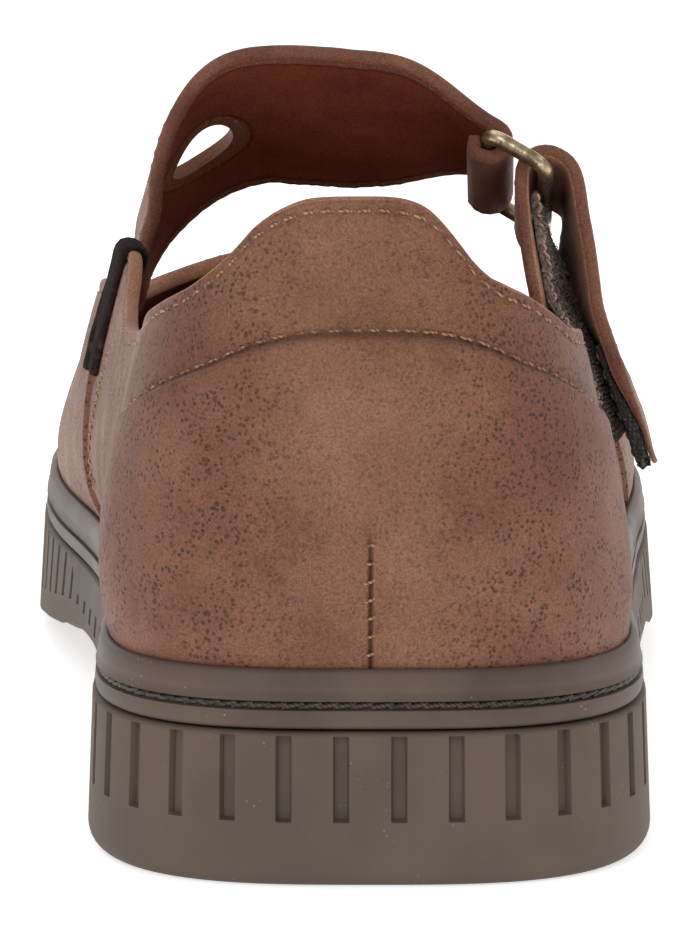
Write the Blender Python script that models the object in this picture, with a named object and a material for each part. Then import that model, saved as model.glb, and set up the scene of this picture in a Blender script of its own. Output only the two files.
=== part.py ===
"""Right-foot mary jane: a leather upper on a cupped rubber sole, closed by an instep strap.

Run with: blender --background --python part.py
Metres. +Z is up, +Y is the toe and +X the outer (lateral) side of the foot.
The origin lies on the floor under the middle of the heel.
"""
import functools
import math

import bmesh
import bpy
from mathutils import Vector

# Driving sizes of the last, over the leather
LENGTH = 0.263
HEEL_WIDTH = 0.0624
BALL_WIDTH = 0.0878
INSTEP_HEIGHT = 0.0934
TOE_HEIGHT = 0.0476
COLLAR_HEIGHT = 0.0801
SIDE_BULGE = 0.004
EDGE_BEND = 0.035
HEEL_ROUND = 0.131
HEEL_SQUARE = 3.2
TOE_ROUND = 0.25
TOE_SQUARE = 2.0
HEEL_CENTRE = 0.12
CREST_START = 0.059
CREST_END = 0.93

# Sole
OUTSOLE_HEEL = 0.0184
OUTSOLE_BALL = 0.0170
WELT_HEIGHT = 0.0073
WELT_FLOOR = 0.0020
ARCH_RISE = 0.0065
TOE_SPRING = 0.009
RAND_PROUD = 0.0021
BAND_PROUD = 0.0026
GROOVE_DEPTH = 0.0010
GROOVE_WIDTH = 0.0009
GROOVE_HEIGHT = 0.0031
RIB_PROUD = 0.0030
FLARE_PROUD = 0.0037
TREAD_ROUND = 0.0020
SLOT_WIDTH = 0.0017
SLOT_DEPTH = 0.0010
SLOT_PITCH = 0.0068
PLAIN_BAND = 0.0077
CHANNEL_WIDTH = 0.0036
CHANNEL_DEPTH = 0.0018
CHANNEL_SPREAD = 0.0165
FLEX_MARGIN = 0.012
FLEX_DEPTH = 0.0016
INSOLE_THICKNESS = 0.0045
INSOLE_ROUND = 0.0010

# Leather, straps and trim
WALL = 0.0018
COUNTER_STEP = 0.0009
VAMP_STEP = 0.0007
STRAP_THICKNESS = 0.0020
STRAP_WIDTH = 0.0250
RING_WIRE = 0.0022
RING_INNER = 0.0070
RING_CORNER = 0.0024
RING_LIFT = 0.0042
RING_TILT = 38.0
FOLD_ROOM = 0.0012
TAIL_LENGTH = 0.009
TEAR_RADIUS = 0.0080
TEAR_POINT = 0.0145
TEAR_LEAN = 9.2
TEAR_HEIGHT = 0.0672
GORE_THICKNESS = 0.0010
PAD_THICKNESS = 0.0010
HOOK_THICKNESS = 0.0008
PAD_WIDTH = 0.0215
CLEARANCE = 0.0003

# Places, as shares of LENGTH from the heel's back edge
THROAT = 0.694
COUNTER_END = 0.268
VAMP_EDGE = {"medial": 0.4105, "lateral": 0.495}
RING_PLACE = 0.4335
RING_RISE = 0.550
TEAR_PLACE = 0.4565
CHANNELS = ((-0.05, 0.22), (0.62, 0.80))
FLEX_GROOVES = (0.655, 0.690, 0.740, 0.775)

MEDIAL = -1
LATERAL = 1
TAU = 2 * math.pi
SOLE_LOOP = 64
UPPER_LOOP = 52
ROWS_LOW = 4
ROWS_HIGH = 5

# Plan of the feather edge: half width = heel * HEEL_WIDTH / 2 + ball * BALL_WIDTH / 2
PLAN = {
    "share":  (0.000, 0.120, 0.215, 0.329, 0.405, 0.481, 0.557, 0.633, 0.690, 0.766, 0.861, 1.000),
    "heel":   (1.000, 1.000, 0.700, 0.400, 0.200, 0.050, 0.000, 0.000, 0.000, 0.000, 0.000, 0.000),
    "ball":   (0.000, 0.000, 0.220, 0.475, 0.670, 0.845, 0.955, 0.995, 1.000, 0.970, 0.920, 0.885),
    "centre": (-0.001, -0.001, 0.001, 0.002, -0.004, -0.016, -0.028, -0.038, -0.044, -0.050, -0.060, -0.090),
}

# Crest of the form: height = instep * INSTEP_HEIGHT + toe * TOE_HEIGHT, aside in BALL_WIDTH
CREST = {
    "share":  (0.000, 0.180, 0.310, 0.375, 0.463, 0.546, 0.616, 0.686, 0.770, 0.856, 0.943, 1.000),
    "instep": (1.130, 1.150, 1.072, 1.000, 0.884, 0.740, 0.580, 0.400, 0.120, 0.040, 0.000, 0.000),
    "toe":    (0.000, 0.000, 0.000, 0.000, 0.000, 0.070, 0.227, 0.440, 0.893, 1.000, 1.030, 1.000),
    "aside":  (-0.011, -0.030, -0.110, -0.145, -0.135, -0.115, -0.105, -0.100, -0.100, -0.100, -0.100, -0.100),
}

# Section shape: fullness of each side's wall and top, and swell as a share of SIDE_BULGE
SECTION = {
    "share":   (0.000, 0.120, 0.200, 0.330, 0.390, 0.480, 0.560, 0.650, 0.800, 1.000),
    "medial":  (1.650, 1.700, 1.750, 1.980, 2.250, 2.450, 2.000, 1.850, 2.000, 2.200),
    "lateral": (1.650, 1.600, 1.500, 1.340, 1.320, 1.450, 1.720, 1.850, 2.000, 2.200),
    "top_medial":  (1.700, 1.700, 1.800, 2.200, 2.900, 2.900, 2.100, 1.900, 2.000, 2.200),
    "top_lateral": (1.700, 1.700, 1.800, 2.100, 2.300, 1.950, 1.850, 1.900, 2.000, 2.200),
    "swell_medial":  (0.550, 0.500, 0.600, 1.000, 0.950, 0.550, 0.250, 0.150, 0.000, 0.000),
    "swell_lateral": (0.150, 0.180, 0.220, 0.250, 0.200, 0.200, 0.180, 0.100, 0.000, 0.000),
}

# Underside of the sole: arch in ARCH_RISE, spring in TOE_SPRING, edge in TREAD_ROUND;
# ball blends the heel thickness into the ball thickness
SOLE = {
    "share":  (0.00, 0.24, 0.38, 0.47, 0.56, 0.64, 0.78, 0.87, 1.00),
    "arch":   (0.00, 0.00, 1.00, 0.80, 0.35, 0.00, 0.00, 0.00, 0.00),
    "spring": (0.00, 0.00, 0.00, 0.00, 0.00, 0.00, 0.00, 0.22, 1.00),
    "ball":   (0.00, 0.00, 0.60, 0.90, 1.00, 1.00, 1.00, 1.00, 1.00),
    "round":  (1.00, 1.00, 2.00, 3.00, 3.00, 3.00, 3.00, 3.00, 3.00),
}

# Side slots: bottom and top as shares of the outsole's height
SLOTS = {
    "share":  (0.00, 0.24, 0.30, 0.45, 0.50, 1.00),
    "bottom": (0.43, 0.43, 0.28, 0.28, 0.17, 0.17),
    "top":    (1.00, 1.00, 0.60, 0.60, 1.00, 1.00),
}

# Height of the collar edge, in COLLAR_HEIGHT, on each side
TOPLINE = {
    "share":   (0.0000, 0.0012, 0.0034, 0.0061, 0.0094, 0.0139, 0.0213, 0.0323, 0.0573,
                0.101, 0.158, 0.215, 0.272, 0.314, 0.340, 0.359, 0.378, 0.386, 0.397, 0.403,
                0.4105, 0.418, 0.435, 0.481, 0.557, 0.600, 0.630, 0.660, 0.680, 0.694),
    "medial":  (0.999, 0.996, 0.985, 0.971, 0.952, 0.918, 0.887, 0.860, 0.832,
                0.795, 0.755, 0.725, 0.711, 0.736, 0.786, 0.809, 0.805, 0.740, 0.605, 0.585,
                0.620, 0.700, 0.721, 0.714, 0.672, 0.642, 0.651, 0.667, 0.686, 0.715),
    "lateral": (0.999, 0.984, 0.946, 0.905, 0.880, 0.867, 0.852, 0.829, 0.790,
                0.770, 0.745, 0.720, 0.700, 0.688, 0.679, 0.672, 0.665, 0.662, 0.658, 0.656,
                0.653, 0.651, 0.645, 0.630, 0.608, 0.601, 0.606, 0.628, 0.660, 0.715),
}

# Upper edge of the heel counter, in COLLAR_HEIGHT
COUNTER = {
    "share":  (0.000, 0.005, 0.014, 0.030, 0.060, 0.100, 0.140, 0.180, 0.222, 0.268),
    "height": (0.805, 0.785, 0.755, 0.725, 0.680, 0.640, 0.600, 0.535, 0.447, 0.330),
}

# Instep strap across the form: turn is 0 at the crest, -1 at the medial feather, +1 at the lateral
INSTEP_STRAP = {
    "turn":  (-0.700, -0.640, -0.560, -0.480, -0.380, -0.250, -0.120, 0.000, 0.120, 0.220, 0.300),
    "back":  (0.437, 0.431, 0.421, 0.407, 0.394, 0.387, 0.386, 0.386, 0.387, 0.389, 0.392),
    "front": (0.603, 0.590, 0.576, 0.563, 0.553, 0.544, 0.538, 0.534, 0.528, 0.514, 0.496),
    "tuck":  (1.000, 1.000, 1.000, 0.300, 0.000, 0.000, 0.000, 0.000, 0.000, 0.000, 0.000),
    "lift":  (0.000, 0.000, 0.000, 0.000, 0.000, 0.000, 0.000, 0.000, 0.000, 0.120, 0.380),
}

# Fastening strap, root to ring: tuck is its share of the depth behind the quarter
STRAP_ROOT = {
    "rise": (0.235, 0.270, 0.310, 0.350, 0.385, 0.415, 0.445),
    "tuck": (1.000, 1.000, 1.000, 1.000, 0.950, 0.700, 0.350),
}

# Fastening strap, ring to tip: stand is its centre's distance off the form, wide its share of width
STRAP_RETURN = {
    "rise":  (0.445, 0.415, 0.385, 0.350, 0.310, 0.270, 0.235, 0.200, 0.172, 0.154, 0.145),
    "stand": (0.0084, 0.0076, 0.0067, 0.0057, 0.0051, 0.0048, 0.0047, 0.0047, 0.0046, 0.0046, 0.0046),
    "wide":  (1.000, 1.000, 1.000, 1.000, 1.000, 1.000, 1.000, 0.980, 0.900, 0.760, 0.520),
}

# Loop pad: rise of its rows, from its sewn end on the quarter up along the strap's root
LOOP_ROWS = (0.185, 0.225, 0.270, 0.310, 0.350, 0.385, 0.400, 0.415, 0.430)

# Elastic gore: height in COLLAR_HEIGHT, back and front edges as shares of LENGTH
GORE = {
    "height": (0.585, 0.650, 0.720, 0.780, 0.822),
    "back":   (0.386, 0.379, 0.371, 0.364, 0.360),
    "front":  (0.416, 0.413, 0.410, 0.4055, 0.402),
}


def read(table, column, key, at):
    """Smooth reading of a table column, without overshoot."""
    keys = table[key]
    values = table[column]
    last = len(keys) - 1
    if at <= keys[0]:
        return values[0]
    if at >= keys[last]:
        return values[last]
    low = max(i for i in range(last) if keys[i] <= at)
    slopes = [(values[i + 1] - values[i]) / (keys[i + 1] - keys[i]) for i in range(last)]

    def tangent(i):
        if i == 0:
            return slopes[0]
        if i == last:
            return slopes[-1]
        before, after = slopes[i - 1], slopes[i]
        if before * after <= 0:
            return 0.0
        return 2 * before * after / (before + after)

    span = keys[low + 1] - keys[low]
    t = (at - keys[low]) / span
    rise = values[low + 1] - values[low]
    bend = (2 * rise - span * (tangent(low) + tangent(low + 1)))
    curve = 3 * rise - span * (2 * tangent(low) + tangent(low + 1))
    return values[low] + t * (span * tangent(low) + t * (curve - t * bend))


def solve(function, target, low=0.0, high=1.0):
    """Argument at which a rising function reaches the target."""
    for _ in range(30):
        middle = (low + high) / 2
        if function(middle) < target:
            low = middle
        else:
            high = middle
    return (low + high) / 2


def share_of(theta):
    """Share of the length at an angle round the shoe: 0 at the heel, pi at the toe."""
    return (1 - math.cos(theta)) / 2


def theta_of(side, share):
    turn = math.acos(1 - 2 * min(max(share, 0.0), 1.0))
    return turn if side == MEDIAL else TAU - turn


def side_of(theta):
    return MEDIAL if theta % TAU <= math.pi else LATERAL


def side_name(theta):
    return "medial" if side_of(theta) == MEDIAL else "lateral"


def place(share):
    """World Y of a share of the length."""
    return LENGTH * (share - HEEL_CENTRE)


def edge_point(theta):
    """Point of the feather edge in plan."""
    share = share_of(theta)
    half = (read(PLAN, "heel", "share", share) * HEEL_WIDTH
            + read(PLAN, "ball", "share", share) * BALL_WIDTH) / 2
    if share < HEEL_ROUND:
        half *= (1 - (1 - share / HEEL_ROUND) ** HEEL_SQUARE) ** (1 / HEEL_SQUARE)
    if share > 1 - TOE_ROUND:
        half *= max(0.0, 1 - (1 - (1 - share) / TOE_ROUND) ** TOE_SQUARE) ** (1 / TOE_SQUARE)
    centre = read(PLAN, "centre", "share", share) * BALL_WIDTH
    return Vector((centre + side_of(theta) * half, place(share), 0.0))


def edge_normal(theta):
    ahead = edge_point(theta + 0.02) - edge_point(theta - 0.02)
    return Vector((-ahead.y, ahead.x, 0.0)).normalized()


def tread_height(share):
    return (read(SOLE, "arch", "share", share) * ARCH_RISE
            + read(SOLE, "spring", "share", share) * TOE_SPRING)


def seam_height(share):
    """Where the ribbed outsole meets the welt."""
    ball = read(SOLE, "ball", "share", share)
    return (OUTSOLE_HEEL * (1 - ball) + OUTSOLE_BALL * ball
            + read(SOLE, "spring", "share", share) * TOE_SPRING)


def floor_height(share):
    """Top of the welt's floor, which the upper and the insole stand on."""
    return seam_height(share) + CLEARANCE + WELT_FLOOR


def feather_height(share):
    """Top of the rand."""
    return seam_height(share) + WELT_HEIGHT


def crest_point(share):
    aside = read(CREST, "aside", "share", share) * BALL_WIDTH
    height = (read(CREST, "instep", "share", share) * INSTEP_HEIGHT
              + read(CREST, "toe", "share", share) * TOE_HEIGHT)
    along = CREST_START + (CREST_END - CREST_START) * share
    return Vector((aside, place(along), height))


def form_point(theta, rise):
    """Point of the last's surface: rise is 0 at the feather edge and 1 on the crest."""
    share = share_of(theta)
    name = side_name(theta)
    fullness = read(SECTION, name, "share", share)
    top_fullness = read(SECTION, "top_" + name, "share", share)
    ease = rise * rise * (3 - 2 * rise)
    power = 2 / (fullness + (top_fullness - fullness) * ease)
    angle = rise * math.pi / 2
    outward = max(math.cos(angle), 0.0) ** power
    upward = math.sin(angle) ** power
    foot = edge_point(theta)
    crest = crest_point(share)
    base = feather_height(share)
    swell = read(SECTION, "swell_" + name, "share", share) * SIDE_BULGE
    swell *= (upward / 0.2) * math.exp(1 - upward / 0.2)
    point = foot * outward + Vector((crest.x, crest.y, 0.0)) * (1 - outward)
    point += edge_normal(theta) * swell
    point.z = base + (crest.z - base) * upward
    return point


def form_normal(theta, rise):
    lower = max(rise - 0.006, 0.0)
    upper = min(rise + 0.006, 1.0)
    level = min(max(rise, 0.01), 0.96)
    around = form_point(theta + 0.015, level) - form_point(theta - 0.015, level)
    up = form_point(theta, upper) - form_point(theta, lower)
    return up.cross(around).normalized()


def form(theta, rise, outset=0.0):
    """Point at a distance off the last's surface."""
    normal = form_normal(theta, rise)
    if rise >= 1.0:
        normal = (normal + form_normal(TAU - theta, rise)).normalized()
    return form_point(theta, rise) + normal * outset


def rise_at(theta, height):
    """Rise at which the surface over one place of the edge reaches a height."""
    return solve(lambda rise: form_point(theta, rise).z, height)


def theta_at(side, rise, along):
    """Angle at which the surface at one rise lies a share of the length along."""
    share = solve(lambda s: form_point(theta_of(side, s), rise).y, place(along))
    return theta_of(side, share)


def on_form(side, rise, along, outset=0.0):
    return form(theta_at(side, rise, along), rise, outset)


def at_height(side, height, along):
    """Angle and rise of the surface point with this height and share of the length."""
    rise = solve(lambda r: form_point(theta_at(side, r, along), r).z, height)
    return theta_at(side, rise, along), rise


def make_material(name, colour, roughness, metallic=0.0):
    material = bpy.data.materials.new(name)
    material.use_nodes = True
    shader = material.node_tree.nodes["Principled BSDF"]
    shader.inputs["Base Color"].default_value = (*colour, 1.0)
    shader.inputs["Roughness"].default_value = roughness
    shader.inputs["Metallic"].default_value = metallic
    material.diffuse_color = (*colour, 1.0)
    return material


def new_collection(name):
    collection = bpy.data.collections.new(name)
    bpy.context.scene.collection.children.link(collection)
    return collection


def add_object(name, data, collection, material=None):
    thing = bpy.data.objects.new(name, data)
    collection.objects.link(thing)
    if material:
        data.materials.append(material)
    return thing


def finish_mesh(name, builder, collection, material=None):
    """Mesh object from a bmesh whose faces point outwards; a cutter stays flat shaded."""
    bmesh.ops.recalc_face_normals(builder, faces=builder.faces)
    mesh = bpy.data.meshes.new(name)
    builder.to_mesh(mesh)
    builder.free()
    if material:
        mesh.shade_smooth()
        mesh.set_sharp_from_angle(angle=math.radians(40))
    return add_object(name, mesh, collection, material)


def stack(name, rings, collection, material=None):
    """Closed solid from rings round the shoe, capped across from side to side."""
    builder = bmesh.new()
    loops = [[builder.verts.new(point) for point in ring] for ring in rings]
    count = len(rings[0])
    for low, high in zip(loops, loops[1:]):
        for i in range(count):
            j = (i + 1) % count
            builder.faces.new((low[i], low[j], high[j], high[i]))
    for loop in (loops[0], loops[-1]):
        for i in range(count // 2):
            across = (loop[i], loop[i + 1], loop[-i - 1], loop[-i])
            builder.faces.new(list(dict.fromkeys(across)))
    return finish_mesh(name, builder, collection, material)


@functools.lru_cache(maxsize=None)
def loop_shares(steps):
    """Shares of the length from heel to toe, closer together where the edge bends."""
    fine = [math.pi * i / 720 for i in range(721)]
    points = [edge_point(theta) for theta in fine]
    walked = [0.0, (points[1] - points[0]).length]
    for a, b, c in zip(points, points[1:], points[2:]):
        walked.append(walked[-1] + (c - b).length + EDGE_BEND * (b - a).angle(c - b))
    shares = []
    index = 0
    for k in range(steps + 1):
        target = walked[-1] * k / steps
        while index < 719 and walked[index + 1] < target:
            index += 1
        ratio = (target - walked[index]) / (walked[index + 1] - walked[index])
        shares.append(share_of(fine[index] + ratio * (fine[index + 1] - fine[index])))
    return shares


def ring(outset, height):
    """Ring round the feather edge: outset and height are each given for a share of the length."""
    shares = loop_shares(SOLE_LOOP // 2)
    thetas = [theta_of(MEDIAL, share) for share in shares]
    thetas += [theta_of(LATERAL, share) for share in reversed(shares[1:-1])]
    points = []
    for theta in thetas:
        share = share_of(theta)
        point = edge_point(theta) + edge_normal(theta) * outset(share)
        point.z = height(share)
        points.append(point)
    return points


def constant(value):
    return lambda share: value


def sheet(name, rows, thickness, collection, material=None):
    """Solid of even thickness about a grid of centre points."""
    builder = bmesh.new()
    last_row = len(rows) - 1
    last_column = len(rows[0]) - 1
    faces = ([], [])
    for i, row in enumerate(rows):
        for j, point in enumerate(row):
            along = rows[min(i + 1, last_row)][j] - rows[max(i - 1, 0)][j]
            across = row[min(j + 1, last_column)] - row[max(j - 1, 0)]
            normal = along.cross(across).normalized()
            faces[0].append(builder.verts.new(point + normal * thickness / 2))
            faces[1].append(builder.verts.new(point - normal * thickness / 2))
    wide = last_column + 1
    for i in range(last_row):
        for j in range(last_column):
            corner = i * wide + j
            cell = (corner, corner + 1, corner + wide + 1, corner + wide)
            builder.faces.new([faces[0][k] for k in cell])
            builder.faces.new([faces[1][k] for k in reversed(cell)])
    rim = [j for j in range(last_column)]
    rim += [i * wide + last_column for i in range(last_row)]
    rim += [last_row * wide + j for j in range(last_column, 0, -1)]
    rim += [i * wide for i in range(last_row, 0, -1)]
    for a, b in zip(rim, rim[1:] + rim[:1]):
        builder.faces.new((faces[0][a], faces[0][b], faces[1][b], faces[1][a]))
    bmesh.ops.triangulate(builder, faces=builder.faces)
    return finish_mesh(name, builder, collection, material)


def cut(target, cutter):
    """Boolean difference that keeps its cutter out of sight."""
    cutter.hide_render = True
    cutter.display_type = "WIRE"
    boolean = target.modifiers.new("cut " + cutter.name, "BOOLEAN")
    boolean.operation = "DIFFERENCE"
    boolean.object = cutter


def add_box(builder, centre, across, along, up):
    """Box about a centre, with three half-extent vectors."""
    corners = []
    for i in (-1, 1):
        for j in (-1, 1):
            for k in (-1, 1):
                corners.append(builder.verts.new(centre + across * i + along * j + up * k))
    for quad in ((0, 1, 3, 2), (4, 6, 7, 5), (0, 4, 5, 1), (2, 3, 7, 6), (0, 2, 6, 4), (1, 5, 7, 3)):
        builder.faces.new([corners[k] for k in quad])


def build_outsole(parts, cutters, material):
    """Ribbed rubber body: flat heel and ball, arch, toe spring, side slots and tread channels."""
    def below_seam(extra):
        return lambda share: seam_height(share) - extra

    def rounded(inward, upward):
        """Ring on the round of the tread's edge."""
        def radius(share):
            return TREAD_ROUND * read(SOLE, "round", "share", share)
        return ring(lambda share: FLARE_PROUD - radius(share) * inward,
                    lambda share: tread_height(share) + radius(share) * upward)

    rings = [
        rounded(2.0, 0.0),
        rounded(1.0, 0.0),
        rounded(0.3, 0.3),
        rounded(0.0, 1.0),
        ring(constant(RIB_PROUD), below_seam(SLOT_DEPTH)),
        ring(constant(RIB_PROUD - SLOT_DEPTH * 0.6), below_seam(0.0)),
    ]
    outsole = stack("outsole", rings, parts, material)

    slots = bmesh.new()
    for theta in pitch_places(SLOT_PITCH, FLARE_PROUD):
        share = share_of(theta)
        low = tread_height(share)
        tall = seam_height(share) - low
        bottom = low + tall * read(SLOTS, "bottom", "share", share)
        open_top = 0.002 if read(SLOTS, "top", "share", share) > 0.95 else 0.0
        top = low + tall * read(SLOTS, "top", "share", share) + open_top
        normal = edge_normal(theta)
        tangent = Vector((-normal.y, normal.x, 0.0))
        lean = normal * (FLARE_PROUD - RIB_PROUD) / 2
        centre = edge_point(theta) + normal * (FLARE_PROUD + RIB_PROUD) / 2
        centre += normal * (0.004 - SLOT_DEPTH)
        centre.z = (bottom + top) / 2
        up = Vector((0.0, 0.0, (top - bottom) / 2)) - lean
        add_box(slots, centre, tangent * SLOT_WIDTH / 2, normal * 0.004, up)
    cut(outsole, finish_mesh("slot cutter", slots, cutters))

    channels = bmesh.new()
    wide = Vector((CHANNEL_WIDTH / 2, 0.0, 0.0))
    for side in (MEDIAL, LATERAL):
        for start, end in CHANNELS:
            centre = read(PLAN, "centre", "share", (start + end) / 2) * BALL_WIDTH
            middle = Vector((centre + side * CHANNEL_SPREAD, place((start + end) / 2), 0.0))
            half = Vector((0.0, LENGTH * (end - start) / 2, 0.0))
            add_box(channels, middle, wide, half, Vector((0.0, 0.0, CHANNEL_DEPTH)))
    cut(outsole, finish_mesh("channel cutter", channels, cutters))

    bars = bmesh.new()
    for share in FLEX_GROOVES:
        middle = Vector((read(PLAN, "centre", "share", share) * BALL_WIDTH, place(share), 0.0))
        reach = BALL_WIDTH / 2 * read(PLAN, "ball", "share", share) - FLEX_MARGIN
        add_box(bars, middle, Vector((reach, 0.0, 0.0)), Vector((0.0, CHANNEL_WIDTH / 2, 0.0)),
                Vector((0.0, 0.0, FLEX_DEPTH)))
    cut(outsole, finish_mesh("flex groove cutter", bars, cutters))
    return outsole


def pitch_places(pitch, outset):
    """Angles round the shoe at an even pitch along its outline."""
    fine = [TAU * i / 1440 for i in range(1441)]
    points = [edge_point(theta) + edge_normal(theta) * outset for theta in fine]
    walked = [0.0]
    for a, b in zip(points, points[1:]):
        walked.append(walked[-1] + (b - a).length)
    count = round(walked[-1] / pitch)
    places = []
    index = 0
    for k in range(count):
        target = walked[-1] * (k + 0.5) / count
        while walked[index + 1] < target:
            index += 1
        ratio = (target - walked[index]) / (walked[index + 1] - walked[index])
        places.append(fine[index] + ratio * (fine[index + 1] - fine[index]))
    return places


def build_welt(parts, material):
    """Cup over the outsole: plain band, sewing groove, rand and the floor inside."""
    def over_seam(extra):
        return lambda share: seam_height(share) + extra

    def under_top(extra):
        return lambda share: feather_height(share) - extra

    groove_low = GROOVE_HEIGHT - GROOVE_WIDTH / 2
    groove_high = GROOVE_HEIGHT + GROOVE_WIDTH / 2
    rings = [
        ring(constant(BAND_PROUD - 0.0006), over_seam(CLEARANCE)),
        ring(constant(BAND_PROUD), over_seam(CLEARANCE + 0.0006)),
        ring(constant(BAND_PROUD), over_seam(groove_low - 0.0003)),
        ring(constant(BAND_PROUD - GROOVE_DEPTH), over_seam(groove_low)),
        ring(constant(BAND_PROUD - GROOVE_DEPTH), over_seam(groove_high)),
        ring(constant(RAND_PROUD), over_seam(groove_high + 0.0003)),
        ring(constant(RAND_PROUD), under_top(0.0012)),
        ring(constant(RAND_PROUD * 0.75), under_top(0.0003)),
        ring(constant(CLEARANCE * 2), under_top(0.0)),
        ring(constant(CLEARANCE), under_top(0.0006)),
        ring(constant(CLEARANCE), floor_height),
    ]
    return stack("welt", rings, parts, material)


def build_insole(parts, material):
    """Footbed on the welt's floor, inside the upper."""
    inset = -(WALL + CLEARANCE)

    def over_floor(extra):
        return lambda share: floor_height(share) + CLEARANCE + extra

    rings = [
        ring(constant(inset), over_floor(0.0)),
        ring(constant(inset), over_floor(INSOLE_THICKNESS - INSOLE_ROUND)),
        ring(constant(inset - INSOLE_ROUND), over_floor(INSOLE_THICKNESS)),
    ]
    return stack("insole", rings, parts, material)


def upper_shares():
    """Columns of the upper: even steps, and every place where an edge turns."""
    turns = [s for s in TOPLINE["share"] if s < 0.06 or 0.30 < s < 0.45 or 0.58 < s <= THROAT]
    turns += [edge + step for edge in VAMP_EDGE.values() for step in (0.0, 0.0015)]
    shares = sorted(set(turns))
    for share in loop_shares(UPPER_LOOP // 2):
        if all(abs(share - turn) > 0.008 for turn in turns):
            shares.append(share)
    return sorted(shares)


def upper_column(theta):
    """Rises and steps of one column of the wall, from the rand to its free edge."""
    share = share_of(theta)
    name = side_name(theta)
    if share >= THROAT:
        top = 1.0
    else:
        top = rise_at(theta, read(TOPLINE, name, "share", share) * COLLAR_HEIGHT)
    if share <= COUNTER_END:
        line = rise_at(theta, read(COUNTER, "height", "share", share) * COLLAR_HEIGHT)
    else:
        away = min((share - COUNTER_END) / (0.4 - COUNTER_END), 1.0)
        line = top * (0.05 + 0.40 * away)
    below = COUNTER_STEP if share <= COUNTER_END else 0.0
    vamp = VAMP_STEP if share > VAMP_EDGE[name] + 0.001 else 0.0
    start = 0.012
    rises = [(0.0, 0.0)]
    for k in range(ROWS_LOW + 1):
        rises.append((start + (line - 0.006 - start) * k / ROWS_LOW, below + vamp))
    for k in range(ROWS_HIGH + 1):
        rises.append((line + (top - line) * k / ROWS_HIGH, vamp))
    return rises


def build_upper(parts, material):
    """One hollow wall of leather: vamp, quarters, heel counter and the medial ear."""
    builder = bmesh.new()
    shares = upper_shares()
    thetas = [theta_of(MEDIAL, share) for share in shares]
    thetas += [theta_of(LATERAL, share) for share in reversed(shares[1:-1])]
    count = len(thetas)
    crest = {}

    def skin(index, theta, rise, outset, inner):
        if rise < 1.0:
            return builder.verts.new(form(theta, rise, outset))
        key = (min(index, count - index), inner)
        if key not in crest:
            crest[key] = builder.verts.new(form(theta, 1.0, outset))
        return crest[key]

    columns = []
    for index, theta in enumerate(thetas):
        share = share_of(theta)
        foot = edge_point(theta)
        normal = edge_normal(theta)
        base = floor_height(share) + CLEARANCE
        outer = [builder.verts.new(Vector((foot.x, foot.y, base)))]
        inside = foot - normal * WALL
        inner = [builder.verts.new(Vector((inside.x, inside.y, base)))]
        for rise, step in upper_column(theta):
            outer.append(skin(index, theta, rise, step, False))
            inner.append(skin(index, theta, rise, -WALL, True))
        columns.append((outer, inner))

    def face(*corners):
        corners = list(dict.fromkeys(corners))
        if len(corners) > 2:
            builder.faces.new(corners)

    for i in range(count):
        outer, inner = columns[i]
        next_outer, next_inner = columns[(i + 1) % count]
        for k in range(len(outer) - 1):
            face(outer[k], next_outer[k], next_outer[k + 1], outer[k + 1])
            face(inner[k + 1], next_inner[k + 1], next_inner[k], inner[k])
        face(outer[0], inner[0], next_inner[0], next_outer[0])
        closed = share_of(thetas[i]) >= THROAT - 1e-6
        next_closed = share_of(thetas[(i + 1) % count]) >= THROAT - 1e-6
        if not (closed and next_closed):
            face(outer[-1], next_outer[-1], next_inner[-1], inner[-1])
    return finish_mesh("upper", builder, parts, material)


def ring_frame():
    """Middle of the ring, with its long, cross and outward directions."""
    middle = on_form(LATERAL, RING_RISE, RING_PLACE, RING_LIFT)
    half = STRAP_WIDTH / LENGTH / 2
    long = on_form(LATERAL, RING_RISE, RING_PLACE + half) - on_form(LATERAL, RING_RISE, RING_PLACE - half)
    down = on_form(LATERAL, RING_RISE - 0.05, RING_PLACE) - on_form(LATERAL, RING_RISE + 0.05, RING_PLACE)
    long.normalize()
    down = (down - long * down.dot(long)).normalized()
    out = down.cross(long) if down.cross(long).x > 0 else long.cross(down)
    tilt = math.radians(RING_TILT)
    tilted_down = down * math.cos(tilt) + out * math.sin(tilt)
    tilted_out = out * math.cos(tilt) - down * math.sin(tilt)
    return middle, long, tilted_down, tilted_out


def bar_distance():
    """From the ring's middle to the centre of either long bar."""
    return (RING_INNER + RING_WIRE) / 2


def build_ring(parts, material):
    """Brass ring of round wire, a long loop with round corners."""
    middle, long, down, out = ring_frame()
    reach_long = STRAP_WIDTH / 2 + RING_CORNER
    reach_down = bar_distance()
    points = []
    for corner, (i, j) in enumerate(((1, 1), (-1, 1), (-1, -1), (1, -1))):
        centre = middle + long * i * (reach_long - RING_CORNER) + down * j * (reach_down - RING_CORNER)
        for k in range(5):
            angle = math.pi / 2 * (corner + k / 4)
            points.append(centre + (long * math.cos(angle) + down * math.sin(angle)) * RING_CORNER)
    curve = bpy.data.curves.new("strap_ring", "CURVE")
    curve.dimensions = "3D"
    curve.bevel_depth = RING_WIRE / 2
    curve.bevel_resolution = 2
    spline = curve.splines.new("POLY")
    spline.points.add(len(points) - 1)
    for point, position in zip(spline.points, points):
        point.co = (*position, 1.0)
    spline.use_cyclic_u = True
    return add_object("strap_ring", curve, parts, material)


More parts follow.
